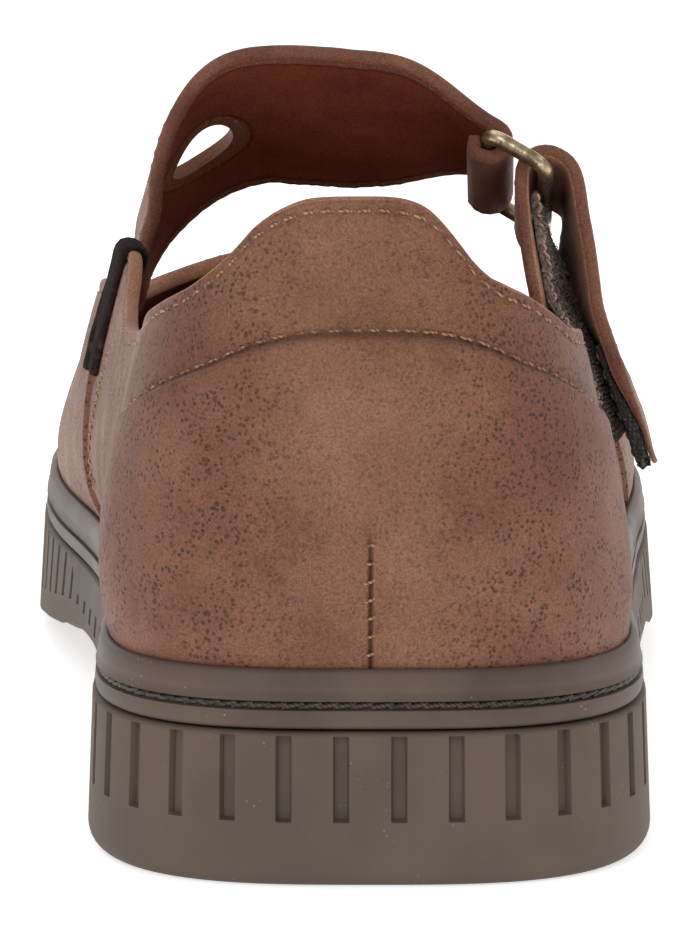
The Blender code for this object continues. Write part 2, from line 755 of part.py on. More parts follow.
def strap_fold(bar, radius, start, frame):
    """Rows of a strap's centre half round one bar, with a straight lead on both sides of it."""
    middle, long, down, out = frame
    lead = -down * RING_WIRE / 2 * math.cos(start)
    centres = []
    for k in range(7):
        angle = start + math.pi * k / 6
        centres.append(middle + down * bar + (out * math.cos(angle) + down * math.sin(angle)) * radius)
    centres = [centres[0] + lead] + centres + [centres[-1] + lead]
    return [[centre + long * w for w in widths(STRAP_WIDTH, 6)] for centre in centres]


def widths(width, steps):
    return [width * (k / steps - 0.5) for k in range(steps + 1)]


def build_instep_strap(parts, cutters, material):
    """Strap sewn inside the medial vamp, over the instep and back on itself round the ring."""
    half = STRAP_THICKNESS / 2
    hidden = WALL + CLEARANCE
    frame = ring_frame()
    middle, long, down, out = frame
    radius = RING_WIRE / 2 + CLEARANCE + half
    raised = RING_LIFT + radius + half
    turns = INSTEP_STRAP["turn"]
    steps = 20
    rows = []
    for k in range(steps + 1):
        turn = turns[0] + (turns[-1] - turns[0]) * k / steps
        side = MEDIAL if turn < 0 else LATERAL
        back = read(INSTEP_STRAP, "back", "turn", turn)
        front = read(INSTEP_STRAP, "front", "turn", turn)
        face = (read(INSTEP_STRAP, "lift", "turn", turn) * raised
                - read(INSTEP_STRAP, "tuck", "turn", turn) * hidden)
        columns = [back + (front - back) * j / 6 for j in range(7)]
        rows.append([on_form(side, 1 - abs(turn), along, face - half) for along in columns])
    rows += strap_fold(-bar_distance(), radius, 0.0, frame)
    for k in (1, 2):
        rows.append([point - down * TAIL_LENGTH * k / 2 for point in rows[steps + 9]])
    strap = sheet("instep_strap", rows, STRAP_THICKNESS, parts, material)

    hole = bmesh.new()
    lean = math.radians(TEAR_LEAN)
    middle = Vector((0.0, place(TEAR_PLACE), TEAR_HEIGHT))
    opening = math.asin(TEAR_RADIUS / TEAR_POINT)
    outline = [middle + Vector((0.0, math.sin(lean), math.cos(lean))) * TEAR_POINT]
    for k in range(15):
        angle = lean + math.pi / 2 - opening + (math.pi + 2 * opening) * k / 14
        outline.append(middle + Vector((0.0, math.sin(angle), math.cos(angle))) * TEAR_RADIUS)
    ends = []
    for x in (-BALL_WIDTH * 0.7, -BALL_WIDTH * 0.16):
        ends.append([hole.verts.new(point + Vector((x, 0.0, 0.0))) for point in outline])
    hole.faces.new(ends[0])
    hole.faces.new(list(reversed(ends[1])))
    for k in range(len(outline)):
        n = (k + 1) % len(outline)
        hole.faces.new((ends[0][k], ends[1][k], ends[1][n], ends[0][n]))
    cut(strap, finish_mesh("teardrop cutter", hole, cutters))
    return strap


def build_fastening_strap(parts, material):
    """Strap sewn behind the lateral quarter, up through the ring and down again to its tip."""
    half = STRAP_THICKNESS / 2
    behind = -(WALL + CLEARANCE + half)
    frame = ring_frame()
    radius = RING_WIRE / 2 + FOLD_ROOM + half
    rows = []
    for rise, tuck in zip(STRAP_ROOT["rise"], STRAP_ROOT["tuck"]):
        rows.append([on_form(LATERAL, rise, RING_PLACE + w / LENGTH, behind * tuck)
                     for w in widths(STRAP_WIDTH, 6)])
    rows += strap_fold(bar_distance(), radius, math.pi, frame)
    for rise, stand, wide in zip(*(STRAP_RETURN[k] for k in ("rise", "stand", "wide"))):
        rows.append([on_form(LATERAL, rise, RING_PLACE + w / LENGTH, stand)
                     for w in widths(STRAP_WIDTH * wide, 6)])
    return sheet("fastening_strap", rows, STRAP_THICKNESS, parts, material)


def build_loop_pad(parts, material):
    """Looped half of the hook and loop fastening, on the strap's root and the quarter."""
    half = PAD_THICKNESS / 2
    behind = -(WALL + CLEARANCE + STRAP_THICKNESS / 2)
    rows = []
    for rise in LOOP_ROWS:
        strap_face = behind * read(STRAP_ROOT, "tuck", "rise", rise) + STRAP_THICKNESS / 2
        stand = max(0.0, strap_face) + CLEARANCE * 2 + half
        rows.append([on_form(LATERAL, rise, RING_PLACE + w / LENGTH, stand) for w in widths(PAD_WIDTH, 4)])
    return sheet("loop_pad", rows, PAD_THICKNESS, parts, material)


def build_hook_pad(parts, material):
    """Hooked half, on the inner face of the strap's tip."""
    drop = STRAP_THICKNESS / 2 + CLEARANCE + HOOK_THICKNESS / 2
    rows = []
    for rise, stand, wide in zip(*(STRAP_RETURN[k][4:] for k in ("rise", "stand", "wide"))):
        rows.append([on_form(LATERAL, rise, RING_PLACE + w / LENGTH, stand - drop)
                     for w in widths(PAD_WIDTH * wide, 4)])
    return sheet("hook_pad", rows, HOOK_THICKNESS, parts, material)


def build_gore(parts, material):
    """Elastic folded over the medial ear and the notch in front of it."""
    half = GORE_THICKNESS / 2
    outside = VAMP_STEP + CLEARANCE + half
    inside = -(WALL + CLEARANCE + half)
    rows = []
    levels = list(zip(GORE["height"], GORE["back"], GORE["front"]))

    def across(level, stand):
        height, back, front = level
        row = []
        for j in range(5):
            theta, rise = at_height(MEDIAL, height * COLLAR_HEIGHT, back + (front - back) * j / 4)
            row.append(form(theta, rise, stand))
        return row

    for level in levels:
        rows.append(across(level, outside))
    top_out = rows[-1]
    top_in = across(levels[-1], inside)
    below = across(levels[-2], outside)
    for k in range(1, 5):
        angle = math.pi * k / 5
        row = []
        for a, b, c in zip(top_out, top_in, below):
            centre = (a + b) / 2
            spoke = a - centre
            upward = (a - c).normalized() * spoke.length
            row.append(centre + spoke * math.cos(angle) + upward * math.sin(angle))
        rows.append(row)
    for level in reversed(levels):
        rows.append(across(level, inside))
    return sheet("elastic_gore", rows, GORE_THICKNESS, parts, material)


def build_shoe():
    for thing in list(bpy.data.objects):
        bpy.data.objects.remove(thing)
    parts = new_collection("mary jane shoe")
    cutters = new_collection("cutters")
    rubber = make_material("taupe rubber", (0.125, 0.098, 0.078), 0.62)
    welt_rubber = make_material("taupe welt rubber", (0.140, 0.108, 0.086), 0.50)
    leather = make_material("brown nubuck", (0.250, 0.122, 0.072), 0.66)
    strap_leather = make_material("brown strap leather", (0.215, 0.100, 0.058), 0.62)
    lining = make_material("dark lining", (0.090, 0.036, 0.022), 0.80)
    brass = make_material("antique brass", (0.420, 0.330, 0.200), 0.36, 1.0)
    elastic = make_material("black elastic", (0.018, 0.017, 0.018), 0.85)
    loops = make_material("grey loop pile", (0.105, 0.080, 0.066), 0.95)
    hooks = make_material("black hook tape", (0.030, 0.027, 0.026), 0.70)

    build_outsole(parts, cutters, rubber)
    build_welt(parts, welt_rubber)
    build_insole(parts, lining)
    build_upper(parts, leather)
    build_instep_strap(parts, cutters, strap_leather)
    build_fastening_strap(parts, strap_leather)
    build_ring(parts, brass)
    build_loop_pad(parts, loops)
    build_hook_pad(parts, hooks)
    build_gore(parts, elastic)


build_shoe()
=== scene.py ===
import math

import bmesh
import bpy
import numpy as np
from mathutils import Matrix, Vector, geometry


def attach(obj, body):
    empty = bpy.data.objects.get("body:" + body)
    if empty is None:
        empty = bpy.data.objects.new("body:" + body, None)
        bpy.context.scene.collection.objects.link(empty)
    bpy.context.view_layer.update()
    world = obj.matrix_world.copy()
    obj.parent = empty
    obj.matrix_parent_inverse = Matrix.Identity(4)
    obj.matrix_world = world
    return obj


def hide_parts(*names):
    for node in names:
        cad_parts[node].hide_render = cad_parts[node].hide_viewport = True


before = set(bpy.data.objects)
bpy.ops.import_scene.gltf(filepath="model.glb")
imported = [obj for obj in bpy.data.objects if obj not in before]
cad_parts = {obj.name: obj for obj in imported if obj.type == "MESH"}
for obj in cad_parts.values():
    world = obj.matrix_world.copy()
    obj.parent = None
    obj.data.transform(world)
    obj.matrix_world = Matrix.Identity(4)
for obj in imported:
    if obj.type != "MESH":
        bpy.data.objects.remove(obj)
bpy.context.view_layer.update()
scene = bpy.context.scene

# The studio: a white sweep of card that glows a little, with a soft box behind the camera, one on
# the right and one above. The camera looks along the shoe from behind the heel, a little downwards.
CAMERA_PLACE = (-0.00245, -0.52103, 0.12334)
CAMERA_PITCH = math.radians(8.586)
CAMERA_LENS = 164.33
CARD = 2.6
SWEEP = 1.2


def paint(red, green, blue):
    """Linear colour of a swatch given in 8-bit steps."""
    steps = [channel / 255 for channel in (red, green, blue)]
    return tuple(((s + 0.055) / 1.055) ** 2.4 if s > 0.04 else s / 12.92 for s in steps) + (1.0,)


def add(tree, kind, inputs=None, **settings):
    """Node with its settings, and its inputs set or linked by socket name or number."""
    node = tree.nodes.new(kind)
    for key, value in settings.items():
        setattr(node, key, value)
    for key, value in (inputs or {}).items():
        if isinstance(value, bpy.types.NodeSocket):
            tree.links.new(value, node.inputs[key])
        else:
            node.inputs[key].default_value = value
    return node


def new_material(name, roughness, **sockets):
    """Material with a Principled shader, and its node tree."""
    material = bpy.data.materials.new(name)
    material.use_nodes = True
    tree = material.node_tree
    shader = tree.nodes["Principled BSDF"]
    shader.inputs["Roughness"].default_value = roughness
    for key, value in sockets.items():
        shader.inputs[key.replace("_", " ")].default_value = value
    return material, tree, shader


def blend_colours(tree, factor, first, second, kind="MIX"):
    return add(tree, "ShaderNodeMix", {0: factor, 6: first, 7: second}, data_type="RGBA",
               blend_type=kind).outputs[2]


def spread(tree, value, low, high, to_low=0.0, to_high=1.0):
    return add(tree, "ShaderNodeMapRange",
               {"Value": value, "From Min": low, "From Max": high, "To Min": to_low, "To Max": to_high},
               interpolation_type="SMOOTHSTEP").outputs["Result"]


def maths(tree, operation, first, second=0.0):
    return add(tree, "ShaderNodeMath", {0: first, 1: second}, operation=operation).outputs[0]


def aim(thing, target):
    thing.rotation_euler = (Vector(target) - thing.location).to_track_quat("-Z", "Y").to_euler()


camera_data = bpy.data.cameras.new("camera")
camera_data.lens = CAMERA_LENS
camera = bpy.data.objects.new("camera", camera_data)
camera.location = CAMERA_PLACE
camera.rotation_euler = (math.pi / 2 - CAMERA_PITCH, 0.0, 0.0)
scene.collection.objects.link(camera)
scene.camera = camera

for name, place_of, size, power in (
        ("soft box", (-0.55, -1.25, 1.15), 1.1, 6.8),
        ("side box", (1.30, -0.10, 0.75), 0.9, 2.7),
        ("top box", (-0.30, 0.55, 1.50), 1.2, 3.8)):
    lamp = bpy.data.lights.new(name, "AREA")
    lamp.size = size
    lamp.energy = power
    box = bpy.data.objects.new(name, lamp)
    box.location = place_of
    aim(box, (0.0, 0.08, 0.04))
    scene.collection.objects.link(box)

scene.world = scene.world or bpy.data.worlds.new("studio")
scene.world.use_nodes = True
scene.world.node_tree.nodes["Background"].inputs["Color"].default_value = (1.0, 1.0, 1.0, 1.0)
scene.world.node_tree.nodes["Background"].inputs["Strength"].default_value = 0.37
scene.view_settings.view_transform = "Standard"

card_mesh = bpy.data.meshes.new("card")
sweep = [(-CARD, 0.0), (CARD, 0.0)]
sweep += [(CARD + SWEEP * math.sin(a), SWEEP * (1 - math.cos(a))) for a in np.linspace(0.1, math.pi / 2, 16)]
sweep += [(CARD + SWEEP, SWEEP * 3)]
card_mesh.from_pydata([(x, y, z) for y, z in sweep for x in (-CARD * 1.5, CARD * 1.5)], [],
                      [(k, k + 1, k + 3, k + 2) for k in range(0, len(sweep) * 2 - 2, 2)])
card_mesh.shade_smooth()
card = bpy.data.objects.new("card", card_mesh)
scene.collection.objects.link(card)
card_white, tree, shader = new_material("white card", 0.95, Emission_Strength=0.62,
                                        Emission_Color=(1.0, 1.0, 1.0, 1.0))
fibre = add(tree, "ShaderNodeTexNoise", {"Vector": add(tree, "ShaderNodeTexCoord").outputs["Object"],
                                         "Scale": 900.0, "Detail": 3.0})
tone = blend_colours(tree, fibre.outputs["Fac"], (0.93, 0.93, 0.93, 1.0), (0.97, 0.97, 0.97, 1.0))
tree.links.new(tone, shader.inputs["Base Color"])
card_mesh.materials.append(card_white)


# The tread body of the sole: one moulding of taupe rubber, with upright slots round its side,
# a smooth rounded foot below them, and shallow channels and flex grooves under heel and ball.
LENGTH = 0.263
HEEL_WIDTH = 0.0624
BALL_WIDTH = 0.0878
HEEL_ROUND = 0.131
HEEL_SQUARE = 3.2
TOE_ROUND = 0.25
TOE_SQUARE = 2.0
HEEL_CENTRE = 0.12
OUTSOLE_HEEL = 0.0184
OUTSOLE_BALL = 0.0170
ARCH_RISE = 0.0065
TOE_SPRING = 0.009
RIB_PROUD = 0.0030
FLARE_PROUD = 0.0037
TREAD_ROUND = 0.0020
SLOT_WIDTH = 0.0017
SLOT_DEPTH = 0.0010
SLOT_PITCH = 0.0068
CHANNEL_WIDTH = 0.0036
CHANNEL_DEPTH = 0.0018
CHANNEL_SPREAD = 0.0165
CHANNELS = ((-0.05, 0.22), (0.62, 0.80))
FLEX_MARGIN = 0.012
FLEX_DEPTH = 0.0016
FLEX_GROOVES = (0.655, 0.690, 0.740, 0.775)
MEDIAL = -1
LATERAL = 1
TAU = 2 * math.pi

# Plan of the feather edge: half width = heel * HEEL_WIDTH / 2 + ball * BALL_WIDTH / 2
PLAN = {
    "share":  (0.000, 0.120, 0.215, 0.329, 0.405, 0.481, 0.557, 0.633, 0.690, 0.766, 0.861, 1.000),
    "heel":   (1.000, 1.000, 0.700, 0.400, 0.200, 0.050, 0.000, 0.000, 0.000, 0.000, 0.000, 0.000),
    "ball":   (0.000, 0.000, 0.220, 0.475, 0.670, 0.845, 0.955, 0.995, 1.000, 0.970, 0.920, 0.885),
    "centre": (-0.001, -0.001, 0.001, 0.002, -0.004, -0.016, -0.028, -0.038, -0.044, -0.050, -0.060, -0.090),
}

# Underside: arch in ARCH_RISE, spring in TOE_SPRING, edge in TREAD_ROUND
SOLE = {
    "share":  (0.00, 0.24, 0.38, 0.47, 0.56, 0.64, 0.78, 0.87, 1.00),
    "arch":   (0.00, 0.00, 1.00, 0.80, 0.35, 0.00, 0.00, 0.00, 0.00),
    "spring": (0.00, 0.00, 0.00, 0.00, 0.00, 0.00, 0.00, 0.22, 1.00),
    "ball":   (0.00, 0.00, 0.60, 0.90, 1.00, 1.00, 1.00, 1.00, 1.00),
    "round":  (1.00, 1.00, 2.00, 3.00, 3.00, 3.00, 3.00, 3.00, 3.00),
}

# Side slots: bottom and top as shares of the body's height
SLOTS = {
    "share":  (0.00, 0.24, 0.30, 0.45, 0.50, 1.00),
    "bottom": (0.43, 0.43, 0.28, 0.28, 0.17, 0.17),
    "top":    (1.00, 1.00, 0.60, 0.60, 1.00, 1.00),
}


def read(table, column, at, key="share"):
    """Smooth reading of a table's column, without overshoot."""
    keys = np.array(table[key])
    values = np.array(table[column])
    at = np.clip(np.asarray(at, dtype=float), keys[0], keys[-1])
    span = np.diff(keys)
    slope = np.diff(values) / span
    product = slope[:-1] * slope[1:]
    total = slope[:-1] + slope[1:]
    inner = np.where(product > 0, 2 * product / np.where(total == 0, 1, total), 0.0)
    tangent = np.concatenate([slope[:1], inner, slope[-1:]])
    low = np.clip(np.searchsorted(keys, at, side="right") - 1, 0, len(keys) - 2)
    t = (at - keys[low]) / span[low]
    rise = values[low + 1] - values[low]
    bend = 2 * rise - span[low] * (tangent[low] + tangent[low + 1])
    curve = 3 * rise - span[low] * (2 * tangent[low] + tangent[low + 1])
    return values[low] + t * (span[low] * tangent[low] + t * (curve - t * bend))


def share_of(theta):
    """Share of the length at an angle round the shoe: 0 at the heel, pi at the toe."""
    return (1 - np.cos(theta)) / 2


def theta_of(side, share):
    turn = np.arccos(1 - 2 * np.clip(share, 0.0, 1.0))
    return turn if side == MEDIAL else TAU - turn


def by_side(theta, medial, lateral):
    return np.where(np.mod(theta, TAU) <= math.pi, medial, lateral)


def vector(x, y, z):
    return np.stack(np.broadcast_arrays(x, y, z), axis=-1).astype(float)


def unit(arrow):
    return arrow / np.maximum(np.linalg.norm(arrow, axis=-1, keepdims=True), 1e-12)


def place(share):
    """World Y of a share of the length."""
    return LENGTH * (share - HEEL_CENTRE)


def edge_point(theta):
    """Point of the feather edge in plan."""
    share = share_of(theta)
    half = (read(PLAN, "heel", share) * HEEL_WIDTH + read(PLAN, "ball", share) * BALL_WIDTH) / 2
    heel = np.clip(1 - share / HEEL_ROUND, 0.0, 1.0)
    toe = np.clip(1 - (1 - share) / TOE_ROUND, 0.0, 1.0)
    half = half * (1 - heel ** HEEL_SQUARE) ** (1 / HEEL_SQUARE)
    half = half * (1 - toe ** TOE_SQUARE) ** (1 / TOE_SQUARE)
    centre = read(PLAN, "centre", share) * BALL_WIDTH
    return vector(centre + by_side(theta, -half, half), place(share), 0.0)


def edge_normal(theta):
    ahead = edge_point(theta + 0.02) - edge_point(theta - 0.02)
    return unit(vector(-ahead[..., 1], ahead[..., 0], 0.0))


def tread_height(share):
    return read(SOLE, "arch", share) * ARCH_RISE + read(SOLE, "spring", share) * TOE_SPRING


def seam_height(share):
    """Where the tread body meets the band above it."""
    ball = read(SOLE, "ball", share)
    return OUTSOLE_HEEL * (1 - ball) + OUTSOLE_BALL * ball + read(SOLE, "spring", share) * TOE_SPRING


def ring(thetas, outset, height):
    """Points round the feather edge, at an outset and a height."""
    points = edge_point(thetas) + edge_normal(thetas) * np.asarray(outset)[..., None]
    points[..., 2] = height
    return points


def walk(outset=0.0):
    """Fine angles right round the shoe, and the distance walked at each."""
    turn = math.pi * np.linspace(0.0, 1.0, 1500) ** 1.6
    thetas = np.concatenate([turn, TAU - turn[-2::-1]])
    points = edge_point(thetas) + edge_normal(thetas) * outset
    steps = np.linalg.norm(np.diff(points, axis=0), axis=1)
    return thetas, np.concatenate([[0.0], np.cumsum(steps)])


def make_object(name, points, faces, materials, groups=None):
    """Mesh object with its materials; groups gives the number of each face's material."""
    mesh = bpy.data.meshes.new(name)
    mesh.from_pydata(np.asarray(points).reshape(-1, 3).tolist(), [], faces)
    for material in materials:
        mesh.materials.append(material)
    if groups is not None:
        mesh.polygons.foreach_set("material_index", np.asarray(groups, dtype=np.int32))
    thing = bpy.data.objects.new(name, mesh)
    scene.collection.objects.link(thing)
    return thing


def close_up(thing, sharp=35.0, merge=1e-6):
    """Merges doubles, turns faces outwards and marks sharp edges."""
    builder = bmesh.new()
    builder.from_mesh(thing.data)
    bmesh.ops.remove_doubles(builder, verts=builder.verts, dist=merge)
    bmesh.ops.recalc_face_normals(builder, faces=builder.faces)
    builder.to_mesh(thing.data)
    builder.free()
    thing.data.shade_smooth()
    thing.data.set_sharp_from_angle(angle=math.radians(sharp))
    return thing


def lattice(rows, columns, start=0, closed=True):
    """Quads between neighbouring rows of points, right round or from end to end."""
    faces = []
    for r in range(rows - 1):
        for c in range(columns if closed else columns - 1):
            a = start + r * columns + c
            b = start + r * columns + (c + 1) % columns
            faces.append((a, b, b + columns, a + columns))
    return faces


def cap(loop, inner, height, start):
    """Triangles that fill a loop of points, with inner points lifted to a height at each."""
    flat = [Vector(p[:2]) for p in loop] + [Vector(p) for p in inner]
    edges = [(i, (i + 1) % len(loop)) for i in range(len(loop))]
    result = geometry.delaunay_2d_cdt(flat, edges, [], 1, 1e-7)
    points = [(*p, height(p.x, p.y)) for p in result[0]]
    for new, old in enumerate(result[3]):
        for index in old:
            if index < len(loop):
                points[new] = tuple(loop[index])
    return points, [tuple(start + k for k in face) for face in result[2]]


thetas, walked = walk(FLARE_PROUD)
count = round(walked[-1] / SLOT_PITCH)
bevel = 0.00012
offsets = np.array([-0.5, -0.34, -0.19]) * SLOT_PITCH
offsets = np.concatenate([offsets, [-SLOT_WIDTH / 2 - bevel, -SLOT_WIDTH / 2 + bevel, -SLOT_WIDTH / 6]])
offsets = np.concatenate([offsets, -offsets[:0:-1]])
centres = walked[-1] * (np.arange(count) + 0.5) / count
body_thetas = np.interp((centres[:, None] + offsets).ravel() % walked[-1], walked, thetas)
in_slot = np.tile(np.abs(offsets) < SLOT_WIDTH / 2, count)
share = share_of(body_thetas)
low = tread_height(share)
tall = seam_height(share) - low
slot_low = low + tall * read(SLOTS, "bottom", share)
slot_high = np.minimum(low + tall * read(SLOTS, "top", share), low + tall - 0.0005)
radius = TREAD_ROUND * read(SOLE, "round", share)
rows = []
for k in range(9):
    angle = math.pi / 2 * k / 8
    rows.append((FLARE_PROUD - radius * (1 - math.sin(angle)), low + radius * (1 - math.cos(angle)), False))
slant = (FLARE_PROUD - RIB_PROUD) / (tall - radius)
for level, cut_in in ((0.5 * (slot_low - bevel) + 0.5 * (low + radius), False), (slot_low - bevel, False),
                      (slot_low + bevel, True), (0.5 * (slot_low + slot_high), True),
                      (slot_high - bevel, True), (slot_high + bevel, False)):
    rows.append((FLARE_PROUD - slant * (level - low - radius), level, cut_in))
rows += [(RIB_PROUD - 0.0001, low + tall - 0.0002, False), (RIB_PROUD - 0.0004, low + tall, False)]
body_rows = []
for outset, height, cut_in in rows:
    outset = np.broadcast_to(outset, share.shape) - (SLOT_DEPTH * in_slot if cut_in else 0.0)
    body_rows.append(ring(body_thetas, outset, height))
body_points = np.array(body_rows)
columns = len(body_thetas)
faces = lattice(len(body_rows), columns)


def tread_depth(x, y):
    """Height of the tread over the floor, in its channels and grooves too."""
    along = y / LENGTH + HEEL_CENTRE
    depth = 0.0
    for start, end in CHANNELS:
        middle = float(read(PLAN, "centre", (start + end) / 2)) * BALL_WIDTH
        if start < along < end and abs(abs(x - middle) - CHANNEL_SPREAD) < CHANNEL_WIDTH / 2:
            depth = CHANNEL_DEPTH
    for groove in FLEX_GROOVES:
        middle = float(read(PLAN, "centre", groove)) * BALL_WIDTH
        reach = BALL_WIDTH / 2 * float(read(PLAN, "ball", groove)) - FLEX_MARGIN
        if abs(y - place(groove)) < CHANNEL_WIDTH / 2 and abs(x - middle) < reach:
            depth = max(depth, FLEX_DEPTH)
    return float(tread_height(along)) + depth


across = {round(v, 5) for v in np.arange(-0.044, 0.045, 0.004)}
upright = {round(v, 5) for v in np.arange(-0.030, 0.234, 0.005)}
for start, end in CHANNELS:
    middle = float(read(PLAN, "centre", (start + end) / 2)) * BALL_WIDTH
    for side in (-1, 1):
        for edge in (-1, 1):
            line = middle + side * CHANNEL_SPREAD + edge * CHANNEL_WIDTH / 2
            across |= {line - bevel, line + bevel}
    upright |= {place(end) - bevel, place(end) + bevel, place(max(start, 0)) - bevel}
for groove in FLEX_GROOVES:
    for edge in (-1, 1):
        line = place(groove) + edge * CHANNEL_WIDTH / 2
        upright |= {line - bevel, line + bevel}
inside = []
for y in sorted(upright):
    along = y / LENGTH + HEEL_CENTRE
    if 0.0 < along < 1.0:
        inset = FLARE_PROUD - 2.2 * TREAD_ROUND * float(read(SOLE, "round", along))
        left = edge_point(theta_of(MEDIAL, along))[0] - inset
        right = edge_point(theta_of(LATERAL, along))[0] + inset
        inside += [(x, y) for x in sorted(across) if left + 0.004 < x < right - 0.004]
under, under_faces = cap(body_points[0], inside, tread_depth, body_points.shape[0] * columns)
over, over_faces = cap(body_points[-1], [], lambda x, y: 0.0, body_points.shape[0] * columns + len(under))
tread_body = make_object("tread_body", np.concatenate([body_points.reshape(-1, 3), under, over]),
                         faces + under_faces + over_faces, [])


def new_group(name, inputs, outputs):
    """Shader node group with named inputs and outputs, and its ends."""
    group = bpy.data.node_groups.new(name, "ShaderNodeTree")
    for title, kind, value in inputs:
        socket = group.interface.new_socket(title, in_out="INPUT", socket_type=kind)
        if value is not None:
            socket.default_value = value
    for title in outputs:
        group.interface.new_socket(title, in_out="OUTPUT", socket_type="NodeSocketFloat")
    return group, group.nodes.new("NodeGroupInput"), group.nodes.new("NodeGroupOutput")


moulding, start, end = new_group(
    "moulded rubber", (("Vector", "NodeSocketVector", None), ("Speck scale", "NodeSocketFloat", 1400.0)),
    ("Cloud", "Specks", "Height"))
where = start.outputs["Vector"]
cloud = add(moulding, "ShaderNodeTexNoise", {"Vector": where, "Scale": 60.0, "Detail": 4.0})
fine = add(moulding, "ShaderNodeTexNoise", {"Vector": where, "Scale": 3200.0, "Detail": 2.0})
dots = add(moulding, "ShaderNodeTexVoronoi", {"Vector": where, "Scale": start.outputs["Speck scale"]})
rare = add(moulding, "ShaderNodeTexNoise", {"Vector": where, "Scale": 260.0, "Detail": 1.0})
speck = maths(moulding, "MULTIPLY", spread(moulding, dots.outputs["Distance"], 0.22, 0.10),
              spread(moulding, rare.outputs["Fac"], 0.60, 0.72))
moulding.links.new(cloud.outputs["Fac"], end.inputs["Cloud"])
moulding.links.new(speck, end.inputs["Specks"])
moulding.links.new(fine.outputs["Fac"], end.inputs["Height"])


def rubber(name, dark, light, speck_colour, roughness):
    """Matt moulded rubber: cloudy tone, pale dust specks, a fine skin, and a darker band near the floor."""
    material, tree, shader = new_material(name, roughness, Specular_IOR_Level=0.28)
    where = add(tree, "ShaderNodeTexCoord").outputs["Object"]
    skin = add(tree, "ShaderNodeGroup", {}, node_tree=moulding)
    tree.links.new(where, skin.inputs["Vector"])
    tone = blend_colours(tree, spread(tree, skin.outputs["Cloud"], 0.36, 0.64), dark, light)
    tone = blend_colours(tree, maths(tree, "MULTIPLY", skin.outputs["Specks"], 0.75), tone, speck_colour)
    height = add(tree, "ShaderNodeSeparateXYZ", {"Vector": where}).outputs["Z"]
    # Darker towards the bottom: within 2.2 mm of the floor the tone is multiplied towards the dark colour.
    floor = spread(tree, height, 0.0022, 0.0)
    tone = blend_colours(tree, maths(tree, "MULTIPLY", floor, 0.35), tone, dark, "MULTIPLY")
    tree.links.new(tone, shader.inputs["Base Color"])
    tree.links.new(spread(tree, skin.outputs["Cloud"], 0.3, 0.7, roughness - 0.06, roughness + 0.10),
                   shader.inputs["Roughness"])
    bump = add(tree, "ShaderNodeBump", {"Height": skin.outputs["Height"], "Strength": 0.25,
                                        "Distance": 0.00012})
    tree.links.new(bump.outputs["Normal"], shader.inputs["Normal"])
    return material


tread_body.data.materials.append(
    rubber("taupe rubber", paint(96, 82, 72), paint(106, 91, 80), paint(150, 138, 128), 0.62))
close_up(tread_body)
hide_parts("outsole")
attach(tread_body, "root")


# The cup band: softer rubber moulded on the tread body. It has a plain band, a sewing groove
# with its thread, and a rounded rand that the bottom of the leather stands in.
WELT_HEIGHT = 0.0073
WELT_FLOOR = 0.0020
RAND_PROUD = 0.0021
BAND_PROUD = 0.0026
GROOVE_DEPTH = 0.0010
GROOVE_WIDTH = 0.0009
GROOVE_HEIGHT = 0.0031
CLEARANCE = 0.0003


def floor_height(share):
    """Top of the cup's floor, which the upper and the footbed stand on."""
    return seam_height(share) + CLEARANCE + WELT_FLOOR


def feather_height(share):
    """Top of the rand."""
    return seam_height(share) + WELT_HEIGHT


def even_thetas(step, outset=0.0, extra=()):
    """Angles round the shoe at an even step, with extra ones among them."""
    thetas, walked = walk(outset)
    steps = np.linspace(0.0, walked[-1], round(walked[-1] / step) + 1)[:-1]
    found = np.concatenate([np.interp(steps, walked, thetas), np.asarray(extra, dtype=float)])
    return np.unique(np.round(found, 7))


thetas = even_thetas(0.0016)
share = share_of(thetas)
seam = seam_height(share)
top = feather_height(share)
groove = seam + GROOVE_HEIGHT
rows = [(BAND_PROUD - 0.0006, seam + CLEARANCE)]
for k in range(1, 5):
    angle = math.pi / 2 * k / 4
    rows.append((BAND_PROUD - 0.0006 * (1 - math.sin(angle)),
                 seam + CLEARANCE + 0.0006 * (1 - math.cos(angle))))
rows.append((BAND_PROUD + 0.0001, seam + GROOVE_HEIGHT * 0.5))
for k in range(9):
    angle = math.pi * k / 8
    rows.append((BAND_PROUD - GROOVE_DEPTH * math.sin(angle) ** 0.7,
                 groove - math.cos(angle) * GROOVE_WIDTH * 0.62))
lip = 0.0011
for level in (0.25, 0.5, 0.75):
    rows.append((RAND_PROUD + 0.0002 * math.sin(math.pi * level),
                 groove + GROOVE_WIDTH * 0.7 + (top - lip - groove - GROOVE_WIDTH * 0.7) * level))
for k in range(8):
    angle = math.pi * k / 7
    middle = (RAND_PROUD + CLEARANCE) / 2
    rows.append((middle + (RAND_PROUD - CLEARANCE) / 2 * math.cos(angle), top - lip + lip * math.sin(angle)))
rows.append((CLEARANCE, floor_height(share)))
cup_points = np.array([ring(thetas, np.broadcast_to(outset, share.shape), height)
                       for outset, height in rows])
size = cup_points.shape[0] * cup_points.shape[1]
base, base_faces = cap(cup_points[0], [], lambda x, y: 0.0, size)
bed, bed_faces = cap(cup_points[-1], [], lambda x, y: 0.0, size + len(base))
cup_band = make_object("cup_band", np.concatenate([cup_points.reshape(-1, 3), base, bed]),
                       lattice(len(rows), len(thetas)) + base_faces + bed_faces,
                       [rubber("taupe cup rubber", paint(86, 72, 63), paint(103, 87, 77),
                               paint(168, 152, 138), 0.46)])
close_up(cup_band)
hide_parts("welt")
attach(cup_band, "root")


# The footbed: a board with a thin brown microfibre cover, dished a little inside its rim, and
# dropped on the cup's floor inside the upper.
INSOLE_THICKNESS = 0.0045
INSOLE_ROUND = 0.0010
WALL = 0.0018

